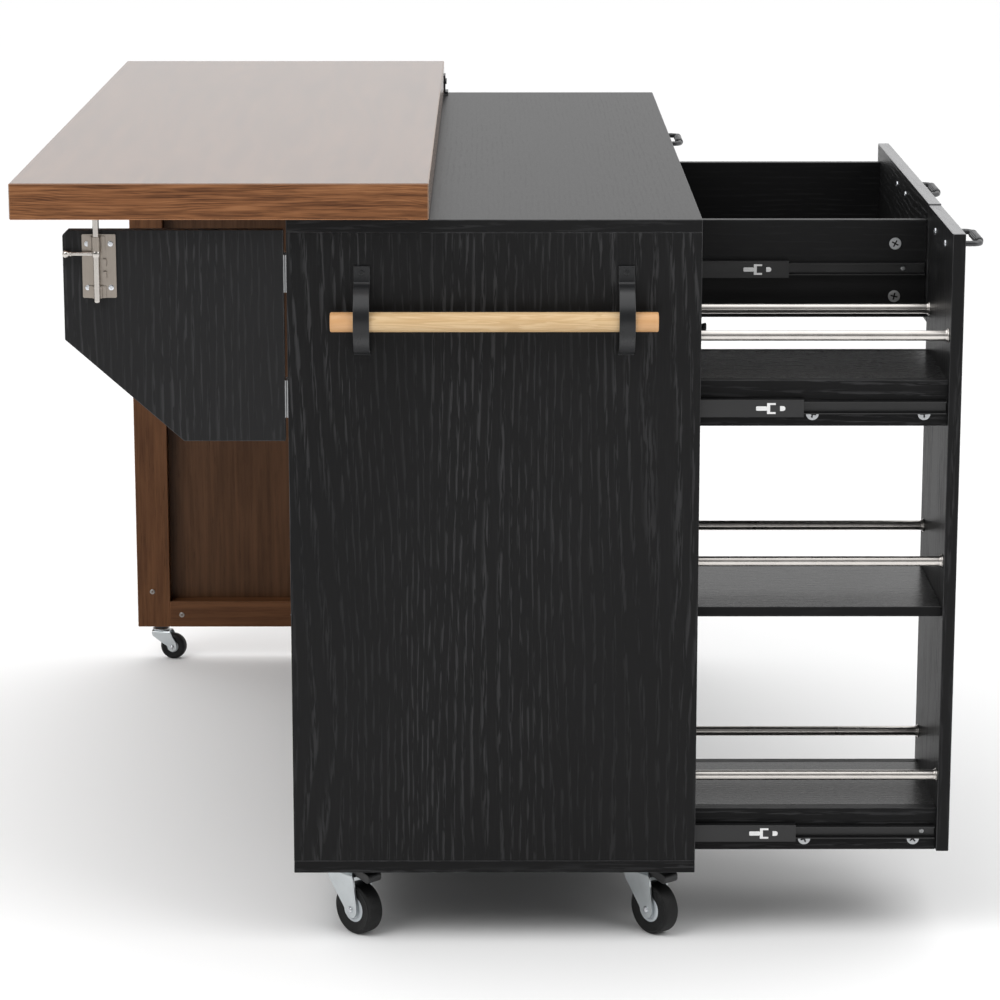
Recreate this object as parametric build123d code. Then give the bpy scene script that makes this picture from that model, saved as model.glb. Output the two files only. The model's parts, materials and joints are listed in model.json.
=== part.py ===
from build123d import *
import os
import math

# Kitchen island cart: a black embossed-woodgrain cabinet on four swivel casters, with
#   - a walnut leaf that slides out over the back to make a table,
#   - a swinging side bracket with a barrel bolt and a walnut gate leg with its own caster
#     that carry the leaf,
#   - a three-tier pull-out with guard rails, two drawers and three doors at the front,
#   - a wooden towel rail on the near end.
# Working axes while modelling: X from the near end panel along the cart, Y = 0 at the back
# face with the front towards -Y, Z = 0 at the floor. All pieces are moved together at the
# end so that the origin is the centre of the bounding box's base.
# The rest pose has the leaf out, bracket and leg swung out, pull-out and middle drawer open.

# ------------------------------------------------------------------ driving dimensions (mm)
TOP = 879.0          # height of the worktop's upper face
LEN = 1325.0         # length of the worktop and cabinet
DEP = 480.0          # depth of the worktop and cabinet
BT = 15.0            # board thickness
FLOOR_GAP = 90.0     # caster height, underside of the bottom board

LEAF_LEN = 1370.0
LEAF_DEP = 480.0
LEAF_THK = 42.0
LEAF_GAP = 3.0       # leaf rides this far above the worktop
LEAF_OUT = 315.0     # overhang past the back at rest, and its sliding travel

COL_1 = (17.0, 250.0)       # pull-out front, X; all fronts are inset between the end panels
COL_2 = (253.0, 845.0)      # middle column
COL_3 = (848.0, 1308.0)     # far column
DIV_1 = (244.0, 259.0)      # dividers, X
DIV_2 = (839.0, 854.0)
SLIDE_W = 12.7              # side clearance taken by a drawer slide

PULL_OUT = 306.0     # travel of the three-tier pull-out
MID_OUT = 306.0      # travel of the middle drawer
FRONT_TOP = 17.5     # drawer fronts, below the worktop's top
FRONT_BOT = 164.0
PULL_TOP = 19.0      # pull-out front
PULL_BOT = 768.0

BRK_T = 15.0         # bracket board
BRK_W = 254.0
BRK_H = 248.0
HINGE_GAP = 3.5
PIN_R = 1.2
KNUCKLE_R = 2.6

LEG_T = 32.0         # gate leg frame depth
LEG_W = 308.5
LEG_BOTTOM = 53.0

WHEEL_R = 31.5       # body casters
WHEEL_W = 22.0
TRAIL = 22.0
PED_X, PED_Z = 20.0, 74.2      # brake pedal's pivot, from the swivel axis along the trail
LEG_WHEEL_R = 20.0   # gate-leg caster
LEG_WHEEL_W = 16.0
LEG_TRAIL = 20.0

# caster swivel axes (X, Y) and the direction each wheel trails, degrees from +X
CASTERS = [
    ("1", 60.0, -60.0, 225.0, True),
    ("2", 60.0, -420.0, 221.0, True),
    ("3", 1265.0, -60.0, 238.0, False),
    ("4", 1265.0, -420.0, 212.0, False),
]
LEG_CASTER = (1309.0, 278.0, 258.0)

RAIL_R = 6.0         # guard rails of the pull-out
DOWEL_R = 11.5
DOWEL_LEN = 378.0

parts = {}


def z(h):
    """Height above the floor of a point h below the worktop's upper face."""
    return TOP - h


def bx(x0, x1, y0, y1, z0, z1, ch=0.0):
    b = Pos((x0 + x1) / 2, (y0 + y1) / 2, (z0 + z1) / 2) * Box(abs(x1 - x0), abs(y1 - y0), abs(z1 - z0))
    if ch:
        b = chamfer(b.edges(), ch)
    return b


def rod(p, direction, r, length):
    """Solid cylinder from p along direction."""
    d = Vector(*direction).normalized()
    pl = Plane(origin=p, z_dir=(d.X, d.Y, d.Z))
    return pl * Pos(0, 0, length / 2) * Cylinder(r, length)


def solid(shape):
    """The one solid in a boolean result."""
    s = shape.solids()
    assert len(s) == 1, "expected one solid, got %d" % len(s)
    return s[0]


def group(items):
    out = []
    for it in items:
        out.extend(it.solids())
    return Compound(out)


# ------------------------------------------------------------------ carcass
parts["worktop"] = bx(0, LEN, -DEP, 0, z(BT), z(0), 0.8)
parts["bottom_board"] = bx(0, LEN, -DEP, 0, FLOOR_GAP, FLOOR_GAP + BT, 0.6)
BB = FLOOR_GAP + BT            # top of the bottom board
parts["near_end_panel"] = bx(0, BT, -DEP, 0, BB, z(BT), 0.5)
parts["far_end_panel"] = bx(LEN - BT, LEN, -DEP, 0, BB, z(BT), 0.5)
parts["dividers"] = group([
    bx(DIV_1[0], DIV_1[1], -DEP + BT + 1, -BT, BB, z(BT), 0.5),
    bx(DIV_2[0], DIV_2[1], -DEP + BT + 1, -BT, BB, z(BT), 0.5),
])
parts["back_panel"] = bx(BT, LEN - BT, -BT, -10.0, BB, z(BT))
SHELF_Z = 385.0
parts["cabinet_shelves"] = group([
    bx(DIV_1[1] + 0.5, DIV_2[0] - 0.5, -DEP + 40, -BT - 1, SHELF_Z, SHELF_Z + BT, 0.5),
    bx(DIV_2[1] + 0.5, LEN - BT - 0.5, -DEP + 40, -BT - 1, SHELF_Z, SHELF_Z + BT, 0.5),
])

# ------------------------------------------------------------------ leaf and its guides
LX0 = (LEN - LEAF_LEN) / 2
LZ0 = TOP + LEAF_GAP
LY0 = LEAF_OUT - LEAF_DEP
GUIDE_X = (300.0, LEN - 300.0)
leaf = bx(LX0, LX0 + LEAF_LEN, LY0, LEAF_OUT, LZ0, LZ0 + LEAF_THK, 1.2)
for gx in GUIDE_X:
    # T-section channel in the underside, blind at both ends so that it stops the travel
    leaf -= bx(gx - 4.5, gx + 4.5, -152, 304, LZ0 - 1, LZ0 + 5)
    leaf -= bx(gx - 9, gx + 9, -152, 304, LZ0 + 4.5, LZ0 + 11)
parts["leaf_top"] = solid(leaf)

shoes = []
for gx in GUIDE_X:
    for y0 in (-151.5, -52.0):
        base = bx(gx - 16, gx + 16, y0, y0 + 40, TOP, TOP + LEAF_GAP - 0.3)
        stem = bx(gx - 4.2, gx + 4.2, y0, y0 + 40, TOP, LZ0 + 6)
        head = bx(gx - 8.6, gx + 8.6, y0, y0 + 40, LZ0 + 4.8, LZ0 + 10.5)
        shoes.append(solid(base + stem + head))
parts["leaf_guide_shoes"] = group(shoes)

# small angle screwed to the leaf's front edge at the far end, it fends off the worktop
st = bx(LEN - 38, LEN - 2, LY0 - 2.5, LY0, LZ0 + 0.5, LZ0 + 26)
st += bx(LEN - 38, LEN - 2, LY0 - 6.5, LY0 - 2.0, LZ0 - 1.2, LZ0 + 1.8)
st += rod((LEN - 30, LY0 - 2.5, LZ0 + 16), (0, -1, 0), 3.4, 1.8)
st += rod((LEN - 10, LY0 - 2.5, LZ0 + 16), (0, -1, 0), 3.4, 1.8)
st += bx(LEN - 38, LEN - 2, LY0 - 3.2, LY0 - 0.6, LZ0 - 1.2, LZ0 + 1.0)
parts["leaf_stop_bracket"] = solid(st)


# ------------------------------------------------------------------ butt hinges of the supports
def butt_hinge(xa, ya, z0, side, width, far_plate_y):
    """Leaves of a butt hinge with a vertical pin at (xa, ya). side is the X direction from the
    pin to the plates. Returns (fixed leaf with its pin, moving leaf)."""
    H = 44.0
    seg = 14.0
    x_in = xa + side * (KNUCKLE_R + 0.3)
    x_out = xa + side * (KNUCKLE_R + 0.3 + width)
    lo, hi = min(x_in, x_out), max(x_in, x_out)
    fixed = bx(lo, hi, 0.0, 1.3, z0, z0 + H)
    moving = bx(lo, hi, far_plate_y - 1.3, far_plate_y, z0, z0 + H)
    tl, th = min(xa, x_in + side * 0.5), max(xa, x_in + side * 0.5)
    for a, b in ((z0, z0 + seg), (z0 + H - seg, z0 + H)):
        fixed += rod((xa, ya, a), (0, 0, 1), KNUCKLE_R, b - a)
        fixed += bx(tl, th, 0.0, 1.3, a, b)
    fixed += rod((xa, ya, z0 - 0.8), (0, 0, 1), PIN_R, H + 1.6)
    a, b = z0 + seg + 0.3, z0 + H - seg - 0.3
    moving += rod((xa, ya, a), (0, 0, 1), KNUCKLE_R, b - a)
    moving += bx(tl, th, far_plate_y - 1.3, far_plate_y, a, b)
    moving -= rod((xa, ya, a - 1), (0, 0, 1), PIN_R + 0.05, b - a + 2)
    return solid(fixed), solid(moving)


BR_AXIS = (BRK_T + KNUCKLE_R, HINGE_GAP / 2)          # bracket pin, X and Y
LEG_X0 = LEN - LEG_T
LEG_AXIS = (LEG_X0 - KNUCKLE_R, HINGE_GAP / 2)        # gate-leg pin
fixed_leaves, br_leaves, leg_leaves = [], [], []
for zz in (z(85.0), z(232.4)):
    f, m = butt_hinge(BR_AXIS[0], BR_AXIS[1], zz, -1, 13.5, HINGE_GAP)
    fixed_leaves.append(f)
    br_leaves.append(m)
for zz in (z(91.0), 440.0, 110.0):
    f, m = butt_hinge(LEG_AXIS[0], LEG_AXIS[1], zz, 1, 29.5, HINGE_GAP)
    fixed_leaves.append(f)
    leg_leaves.append(m)
parts["hinge_fixed_leaves"] = group(fixed_leaves)

# ------------------------------------------------------------------ side bracket and barrel bolt
by0, by1 = HINGE_GAP, HINGE_GAP + BRK_W
bz1 = z(12.0)
bz0 = bz1 - BRK_H
pts = [(by0, bz1), (by1 - 6, bz1), (by1, bz1 - 6), (by1, bz1 - 128), (by1 - 136, bz0), (by0, bz0)]
face = make_face(Plane.YZ * Polyline(*pts, close=True))
brk = extrude(face, amount=BRK_T)
bb = brk.bounding_box()
brk = Pos(-bb.min.X, 0, 0) * brk
parts["bracket_board"] = solid(chamfer(brk.edges(), 0.6))
parts["bracket_hinge_leaves"] = group(br_leaves)

BOLT_Y = 218.0
PL_T = 1.8
ROD_R = 3.75
BAR_R = 5.3
BOLT_X = -(PL_T + BAR_R)
BOLT_Z0 = z(90.5)      # lower edge of the bolt's plate
plate = bx(-PL_T, 0, 196, 235, BOLT_Z0, BOLT_Z0 + 74)
plate = chamfer(plate.edges().filter_by(Axis.X), 1.0)
for a, b in ((BOLT_Z0 + 55.7, BOLT_Z0 + 71.8), (BOLT_Z0, BOLT_Z0 + 14)):
    plate += rod((BOLT_X, BOLT_Y, a), (0, 0, 1), BAR_R, b - a)
    plate += bx(BOLT_X, -PL_T + 0.2, BOLT_Y - BAR_R, BOLT_Y + BAR_R, a, b)
    plate += bx(-PL_T - 1.6, -PL_T + 0.2, BOLT_Y - 10, BOLT_Y + 10, a, b)
for a in (BOLT_Z0 + 37.0, BOLT_Z0 + 22.5):
    # catches pressed out of the plate for the bolt's arm
    plate += bx(-PL_T - 3.4, -PL_T + 0.2, BOLT_Y - 11.0, BOLT_Y - 7.2, a, a + 8.5)
for a, b in ((BOLT_Z0 + 55.7, BOLT_Z0 + 71.8), (BOLT_Z0, BOLT_Z0 + 14)):
    plate -= rod((BOLT_X, BOLT_Y, a - 1), (0, 0, 1), ROD_R + 0.07, b - a + 2)
parts["bolt_plate"] = solid(plate)

bolt = rod((BOLT_X, BOLT_Y, BOLT_Z0 - 5.5), (0, 0, 1), ROD_R, LZ0 - 0.5 - BOLT_Z0 + 5.5)
bolt = fillet(bolt.edges().sort_by(Axis.Z)[0], 2.6)
bolt = chamfer(bolt.edges().sort_by(Axis.Z)[-1], 0.6)
parts["bolt_rod"] = solid(bolt)

ARM_Z = BOLT_Z0 + 51.9
knob = rod((BOLT_X, BOLT_Y, ARM_Z - 3.6), (0, 0, 1), 5.0, 7.0)
knob += rod((BOLT_X, BOLT_Y + 3.9, ARM_Z), (0, 1, 0), 2.5, 27.0)
knob += Pos(BOLT_X, BOLT_Y + 34.6, ARM_Z) * Sphere(4.6)
knob -= rod((BOLT_X, BOLT_Y, ARM_Z - 12), (0, 0, 1), ROD_R + 0.05, 30)
parts["bolt_knob"] = solid(knob)

# ------------------------------------------------------------------ gate leg
ly0, ly1 = HINGE_GAP, HINGE_GAP + LEG_W
leg_top = LZ0 - 2.5
ST_W = 50.0
outer = bx(LEG_X0, LEN, ly1 - ST_W, ly1, LEG_BOTTOM, leg_top, 0.8)
outer -= rod((LEG_CASTER[0], LEG_CASTER[1], LEG_BOTTOM - 5), (0, 0, 1), 4.05, 36)
parts["leg_frame"] = group([
    solid(outer),
    bx(LEG_X0, LEN, ly0, ly0 + ST_W, LEG_BOTTOM, leg_top, 0.8),
    bx(LEG_X0, LEN, ly0 + ST_W, ly1 - ST_W, LEG_BOTTOM, LEG_BOTTOM + 40, 0.6),
    bx(LEG_X0, LEN, ly0 + ST_W, ly1 - ST_W, leg_top - 50, leg_top, 0.6),
])
parts["leg_panel"] = bx(LEN - 4, LEN, ly0 + ST_W, ly1 - ST_W, LEG_BOTTOM + 40, leg_top - 50)
parts["leg_hinge_leaves"] = group(leg_leaves)


# ------------------------------------------------------------------ casters
def wheel_solid(r, w, bore, boss_w, rim):
    """Rubber-tyred wheel about Y, centred on the origin."""
    h = w / 2
    pts = [
        (bore, -boss_w / 2), (bore + 4, -boss_w / 2), (bore + 4, -h + 2.6), (rim, -h + 2.6), (rim + 0.8, -h),
        (r - 5, -h), (r - 1.6, -h + 2.0), (r, -h + 5.0), (r, h - 5.0), (r - 1.6, h - 2.0), (r - 5, h),
        (rim + 0.8, h), (rim, h - 2.6), (bore + 4, h - 2.6), (bore + 4, boss_w / 2), (bore, boss_w / 2),
    ]
    prof = make_face(Polyline(*[(x, y, 0) for x, y in pts], close=True))
    return revolve(prof, axis=Axis.Y, revolution_arc=360)


def place(shape, x, y, ang):
    return Pos(x, y, 0) * Rot(0, 0, ang) * shape


def caster_fork(brake):
    """Swivel fork of a body caster about Z at the origin, wheel trailing along +X."""
    gi, go = 12.2, 14.7
    leg_pts = [(-17, 78.5), (24, 78.5), (26, 74), (32.0, 34), (22, 23.5), (13, 27.5), (-17, 66)]
    f = bx(-17, 10, -go, go, 76, 78.5)
    for y0 in (gi, -go):
        lf = make_face(Plane.XZ * Polyline(*leg_pts, close=True))
        leg = extrude(lf, amount=go - gi)
        lb = leg.bounding_box()
        f += Pos(0, y0 - lb.min.Y, 0) * leg
    f += rod((0, 0, 78.3), (0, 0, 1), 19.0, 4.2)
    f += rod((0, 0, 82.3), (0, 0, 1), 15.0, 4.9)
    f -= rod((0, 0, 70), (0, 0, 1), 4.05, 22)
    for s in (1, -1):
        f -= rod((TRAIL, s * 10.0, WHEEL_R), (0, s, 0), 4.0, 6)
    if brake:
        for s in (1, -1):
            f -= rod((PED_X, s * 10.0, PED_Z), (0, s, 0), 1.9, 6)
    out = [solid(f)]
    axle = rod((TRAIL, -17.4, WHEEL_R), (0, 1, 0), 4.0, 34.8)
    for s in (1, -1):
        head = rod((TRAIL, s * go, WHEEL_R), (0, s, 0), 6.8, 2.6)
        head = chamfer(head.edges().filter_by(GeomType.CIRCLE).sort_by(Axis.Y)[-1 if s > 0 else 0], 1.4)
        axle += head
    out.append(solid(axle))
    if brake:
        out.append(rod((PED_X, -go, PED_Z), (0, 1, 0), 1.9, 2 * go))
    return group(out)


def brake_pedal():
    p = rod((PED_X, -11.6, PED_Z), (0, 1, 0), 3.9, 23.2)
    pad = [(18.5, 76.4), (22.6, 80.2), (31.0, 83.0), (49.0, 80.5), (50.5, 78.8), (48.5, 77.6), (31.0, 79.2),
           (23.2, 74.0), (21.0, 71.5)]
    pf = make_face(Plane.XZ * Polyline(*pad, close=True))
    pe = extrude(pf, amount=22.0)
    pb = pe.bounding_box()
    p += Pos(0, -11.0 - pb.min.Y, 0) * pe
    p -= rod((PED_X, -13, PED_Z), (0, 1, 0), 1.95, 26)
    return solid(p)


w_big = wheel_solid(WHEEL_R, WHEEL_W, 4.05, 23.6, 21.0)
plates = []
for name, cx, cy, ang, brake in CASTERS:
    plt = bx(-30, 30, -30, 30, 87.5, FLOOR_GAP)
    plt = chamfer(plt.edges().filter_by(Axis.Z), 6.0)
    plt += rod((0, 0, 74.0), (0, 0, 1), 4.0, 14.0)
    plt += rod((0, 0, 73.2), (0, 0, 1), 7.0, 2.5)
    plates.append(solid(Pos(cx, cy, 0) * plt))
    parts["caster_fork_" + name] = place(caster_fork(brake), cx, cy, ang)
    parts["caster_wheel_" + name] = place(Pos(TRAIL, 0, WHEEL_R) * w_big, cx, cy, ang)
    if brake:
        parts["brake_pedal_" + name] = place(brake_pedal(), cx, cy, ang)
parts["caster_plates"] = group(plates)

# gate-leg caster: stem pressed up into the outer stile, smaller wheel
gi, go = 8.8, 10.8
f = bx(-12, 8, -go, go, 43.5, 45.5)
leg_pts = [(-12, 45.5), (17, 45.5), (27, 21), (20, 13.5), (13, 17), (-12, 37)]
for y0 in (gi, -go):
    lf = make_face(Plane.XZ * Polyline(*leg_pts, close=True))
    lg = extrude(lf, amount=go - gi)
    lb = lg.bounding_box()
    f += Pos(0, y0 - lb.min.Y, 0) * lg
f += rod((0, 0, 45.3), (0, 0, 1), 13.0, 3.4)
f += rod((0, 0, 48.5), (0, 0, 1), 10.5, 4.2)
f += rod((0, 0, 52.0), (0, 0, 1), 4.0, 30.0)
for s in (1, -1):
    f -= rod((LEG_TRAIL, s * 7.0, LEG_WHEEL_R), (0, s, 0), 3.0, 6)
ax = rod((LEG_TRAIL, -12.8, LEG_WHEEL_R), (0, 1, 0), 3.0, 25.6)
for s in (1, -1):
    hd = rod((LEG_TRAIL, s * go, LEG_WHEEL_R), (0, s, 0), 4.8, 2.0)
    hd = chamfer(hd.edges().filter_by(GeomType.CIRCLE).sort_by(Axis.Y)[-1 if s > 0 else 0], 1.0)
    ax += hd
parts["leg_caster_fork"] = place(group([solid(f), solid(ax)]), *LEG_CASTER)
parts["leg_caster_wheel"] = place(
    Pos(LEG_TRAIL, 0, LEG_WHEEL_R) * wheel_solid(LEG_WHEEL_R, LEG_WHEEL_W, 3.05, 17.0, 12.5), *LEG_CASTER)

# ------------------------------------------------------------------ towel rail on the near end
HOOK_Z = z(115.0)
HOOK_RO, HOOK_T = 41.0, 4.0
HOOK_Y = (-DEP / 2 + 153.0, -DEP / 2 - 153.0)
hooks = []
for hy in HOOK_Y:
    w = 18.7
    ring = rod((0, hy - w / 2, HOOK_Z), (0, 1, 0), HOOK_RO, w)
    ring -= rod((0, hy - w / 2 - 1, HOOK_Z), (0, 1, 0), HOOK_RO - HOOK_T, w + 2)
    ring = ring & bx(-60, 0, hy - w, hy + w, HOOK_Z - 60, HOOK_Z + 60)
    tab = bx(-3.2, 0, hy - w / 2, hy + w / 2, HOOK_Z + HOOK_RO - 5, HOOK_Z + HOOK_RO + 21)
    foot = bx(-3.2, 0, hy - w / 2, hy + w / 2, HOOK_Z - HOOK_RO - 2, HOOK_Z - HOOK_RO + 5)
    hooks.append(solid(ring + tab + foot))
parts["towel_hooks"] = group(hooks)
DOWEL_X = -(HOOK_RO - HOOK_T - DOWEL_R)
dw = rod((DOWEL_X, -DEP / 2 - DOWEL_LEN / 2, HOOK_Z + 0.0), (0, 1, 0), DOWEL_R, DOWEL_LEN)
parts["towel_dowel"] = solid(chamfer(dw.edges().filter_by(GeomType.CIRCLE), 1.0))

# ------------------------------------------------------------------ drawer slides
SL_LEN = 350.0


def channel(x_web, s, depth, half, y0, y1, zc, t=1.2):
    """Channel section running along Y: web at x_web, flanges reaching depth towards s."""
    xa, xb = x_web, x_web + s * t
    c = bx(min(xa, xb), max(xa, xb), y0, y1, zc - half, zc + half)
    xc = x_web + s * depth
    for zz in (zc - half, zc + half - t):
        c += bx(min(xa, xc), max(xa, xc), y0, y1, zz, zz + t)
    return solid(c)


def slide(wall_x, s, zc, y_cab, y_mid, y_drw):
    """One three-section slide. wall_x is the carcass face, s points at the drawer.
    y_* is each member's front end."""
    cab = channel(wall_x, s, 11.2, 13.5, y_cab, y_cab + SL_LEN, zc)
    mid = channel(wall_x + s * 2.2, s, 8.2, 10.4, y_mid, y_mid + SL_LEN, zc)
    drw = channel(wall_x + s * SLIDE_W, -s, 8.4, 7.4, y_drw, y_drw + SL_LEN, zc)
    return cab, mid, drw


cab_members = []
pull_mid, pull_drw, mid_mid, mid_drw, far_drw = [], [], [], [], []
Y_CAB = -DEP + BT + 3.0
Y_CLOSED = -DEP + BT                   # inner plane of a closed front, its face flush with the carcass
for zc in (z(225.0), z(745.5)):
    for wall, s in ((BT, 1), (DIV_1[0], -1)):
        c, m, d = slide(wall, s, zc, Y_CAB, -DEP - 122.0, Y_CLOSED - PULL_OUT + 2.0)
        cab_members.append(c)
        pull_mid.append(m)
        pull_drw.append(d)
for wall, s in ((DIV_1[1], 1), (DIV_2[0], -1)):
    c, m, d = slide(wall, s, z(100.0), Y_CAB, -DEP - 122.0, Y_CLOSED - MID_OUT + 2.0)
    cab_members.append(c)
    mid_mid.append(m)
    mid_drw.append(d)
for wall, s in ((DIV_2[1], 1), (LEN - BT, -1)):
    c, m, d = slide(wall, s, z(100.0), Y_CAB, Y_CAB, Y_CLOSED + 3.0)
    cab_members.append(c)
    far_drw.append(d)
parts["slide_cabinet_members"] = group(cab_members)


# ------------------------------------------------------------------ handles and knobs
def arch_pull(xc, y_face, zc):
    """Bar pull, 96 between its legs, with a thicker grip in the middle; stands off towards -Y."""
    c2, stand, r = 48.0, 27.0, 3.3
    path = FilletPolyline((xc - c2, y_face, zc), (xc - c2, y_face - stand, zc), (xc + c2, y_face - stand, zc),
                          (xc + c2, y_face, zc), radius=8.0)
    sec = Plane(origin=(xc - c2, y_face, zc), z_dir=(0, -1, 0)) * Circle(r)
    bar = sweep(sec, path=path)
    grip = rod((xc - 27, y_face - stand, zc), (1, 0, 0), 5.3, 54)
    grip = chamfer(grip.edges().filter_by(GeomType.CIRCLE), 1.2)
    out = bar + grip
    for sx in (-1, 1):
        out += rod((xc + sx * c2, y_face, zc), (0, -1, 0), 5.2, 2.2)
    return solid(out)


def knob_pull(xc, y_face, zc):
    """Slim flared knob standing off towards -Y."""
    pts = [(0, 0), (5.4, 0), (5.4, 1.8), (3.6, 3.4), (3.6, 22.0), (5.9, 32.0), (5.9, 35.0), (4.9, 36.0), (0, 36.0)]
    prof = make_face(Polyline(*[(x, y, 0) for x, y in pts], close=True))
    k = revolve(prof, axis=Axis.Y, revolution_arc=360)
    return solid(Pos(xc, y_face, zc) * Rot(180, 0, 0) * k)


HANDLE_H = 41.0

# ------------------------------------------------------------------ three-tier pull-out
pf1 = Y_CLOSED - PULL_OUT              # inner face of the front at rest
pf0 = pf1 - BT
FX0 = BT + SLIDE_W                     # frame's outer faces, X
FX1 = DIV_1[0] - SLIDE_W
PB1 = pf1 + 421.0                      # rear face of the pull-out's back board
PB0 = PB1 - BT
parts["pullout_front"] = bx(COL_1[0], COL_1[1], pf0, pf1, z(PULL_BOT), z(PULL_TOP), 0.8)
parts["pullout_back"] = bx(FX0, FX1, PB0, PB1, z(769.0), z(120.0), 0.5)
TOP_Z, MIDT_Z, BOT_Z = z(193.5), z(467.0), z(717.0)   # upper faces of the three tiers
parts["pullout_shelves"] = group([
    bx(FX0 + BT, FX1 - BT, pf1, PB0, TOP_Z - 12, TOP_Z),
    bx(FX0, FX1, pf1, PB0, MIDT_Z - 12, MIDT_Z, 0.5),
    bx(FX0 + BT, FX1 - BT, pf1, PB0, BOT_Z - 12, BOT_Z),
])
parts["pullout_side_boards"] = group([
    bx(a, b, pf1, PB0, lo, hi, 0.5)
    for lo, hi in ((z(248.0), TOP_Z), (z(769.0), BOT_Z))
    for a, b in ((FX0, FX0 + BT), (FX1 - BT, FX1))
])
rails = []
for h in (142.0, 413.5, 678.0):
    for xr in (FX0 + 8.5, FX1 - 8.5):
        rails.append(rod((xr, pf1, z(h)), (0, 1, 0), RAIL_R, PB0 - pf1))
parts["pullout_guard_rails"] = group(rails)
parts["pullout_handle"] = arch_pull(sum(COL_1) / 2, pf0, z(HANDLE_H))
parts["pullout_slide_members"] = group(pull_drw)
parts["pullout_mid_members"] = group(pull_mid)


# ------------------------------------------------------------------ drawers
def drawer(col, wx0, wx1, y_in, length, prefix, separate):
    """Front, two sides, back and bottom of a drawer whose front's inner face is at y_in."""
    st_ = 12.0
    x0, x1 = wx0 + SLIDE_W, wx1 - SLIDE_W
    zl, zh = z(161.0), z(40.0)
    front = bx(col[0], col[1], y_in - BT, y_in, z(FRONT_BOT), z(FRONT_TOP), 0.8)
    sides = [bx(x0, x0 + st_, y_in, y_in + length, zl, zh, 0.5), bx(x1 - st_, x1, y_in, y_in + length, zl, zh, 0.5)]
    back = bx(x0 + st_, x1 - st_, y_in + length - st_, y_in + length, zl, zh, 0.5)
    bottom = bx(x0 + st_, x1 - st_, y_in, y_in + length - st_, zl + 5, zl + 9)
    parts[prefix + "_front"] = front
    if separate:
        parts[prefix + "_walls"] = group(sides + [back])
        parts[prefix + "_bottom"] = bottom
    else:
        parts[prefix + "_box"] = group(sides + [back, bottom])
    parts[prefix + "_handle"] = arch_pull(sum(col) / 2, y_in - BT, z(HANDLE_H))


drawer(COL_2, DIV_1[1], DIV_2[0], Y_CLOSED - MID_OUT, 400.0, "middle_drawer", True)
parts["middle_drawer_slide_members"] = group(mid_drw)
parts["middle_mid_members"] = group(mid_mid)
drawer(COL_3, DIV_2[1], LEN - BT, Y_CLOSED, 400.0, "far_drawer", False)
parts["far_drawer_slide_members"] = group(far_drw)

# ------------------------------------------------------------------ doors
DZ0, DZ1 = z(PULL_BOT), z(FRONT_BOT) - 3.0
mid_c = sum(COL_2) / 2
dy0, dy1 = Y_CLOSED - BT, Y_CLOSED
KNOB_Z = z(214.0)
parts["door_middle_near"] = bx(COL_2[0], mid_c - 1.5, dy0, dy1, DZ0, DZ1, 0.8)
parts["door_middle_far"] = bx(mid_c + 1.5, COL_2[1], dy0, dy1, DZ0, DZ1, 0.8)
parts["door_far"] = bx(COL_3[0], COL_3[1], dy0, dy1, DZ0, DZ1, 0.8)
parts["knob_middle_near"] = knob_pull(mid_c - 50, dy0, KNOB_Z)
parts["knob_middle_far"] = knob_pull(mid_c + 50, dy0, KNOB_Z)
parts["knob_far"] = knob_pull(COL_3[0] + 50, dy0, KNOB_Z)
arms = []
for wall, s in ((DIV_1[1], 1), (DIV_2[0], -1), (LEN - BT, -1)):
    for zc in (190.0, 625.0):
        def sx(a, b):
            return (wall + s * a, wall + s * b) if s > 0 else (wall + s * b, wall + s * a)
        a0, a1 = sx(0, 2.5)
        arm = bx(a0, a1, -DEP + 38, -DEP + 82, zc - 9, zc + 9)
        a0, a1 = sx(2.0, 12.0)
        arm += bx(a0, a1, -DEP + 17.0, -DEP + 78, zc - 7, zc + 7)
        arms.append(solid(arm))
parts["door_hinge_arms"] = group(arms)

# ------------------------------------------------------------------ origin and export
lo = [1e9] * 3
hi = [-1e9] * 3
for s in parts.values():
    b = s.bounding_box()
    for i, (a, c) in enumerate(((b.min.X, b.max.X), (b.min.Y, b.max.Y), (b.min.Z, b.max.Z))):
        lo[i] = min(lo[i], a)
        hi[i] = max(hi[i], c)
OFF = (-(lo[0] + hi[0]) / 2, -(lo[1] + hi[1]) / 2, -lo[2])

os.makedirs("parts", exist_ok=True)
for f in os.listdir("parts"):
    if f.endswith(".step") and f[:-5] not in parts:
        os.remove(os.path.join("parts", f))
final = {}
for name, s in parts.items():
    moved = Pos(*OFF) * s
    moved.label = name
    final[name] = moved
    export_step(moved, "parts/%s.step" % name)
print("nodes", len(parts), "size", [round(hi[i] - lo[i], 2) for i in range(3)], "offset", [round(v, 4) for v in OFF])
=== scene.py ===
import json
import math
import random

import bmesh
import bpy
from mathutils import Matrix, Vector


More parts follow.
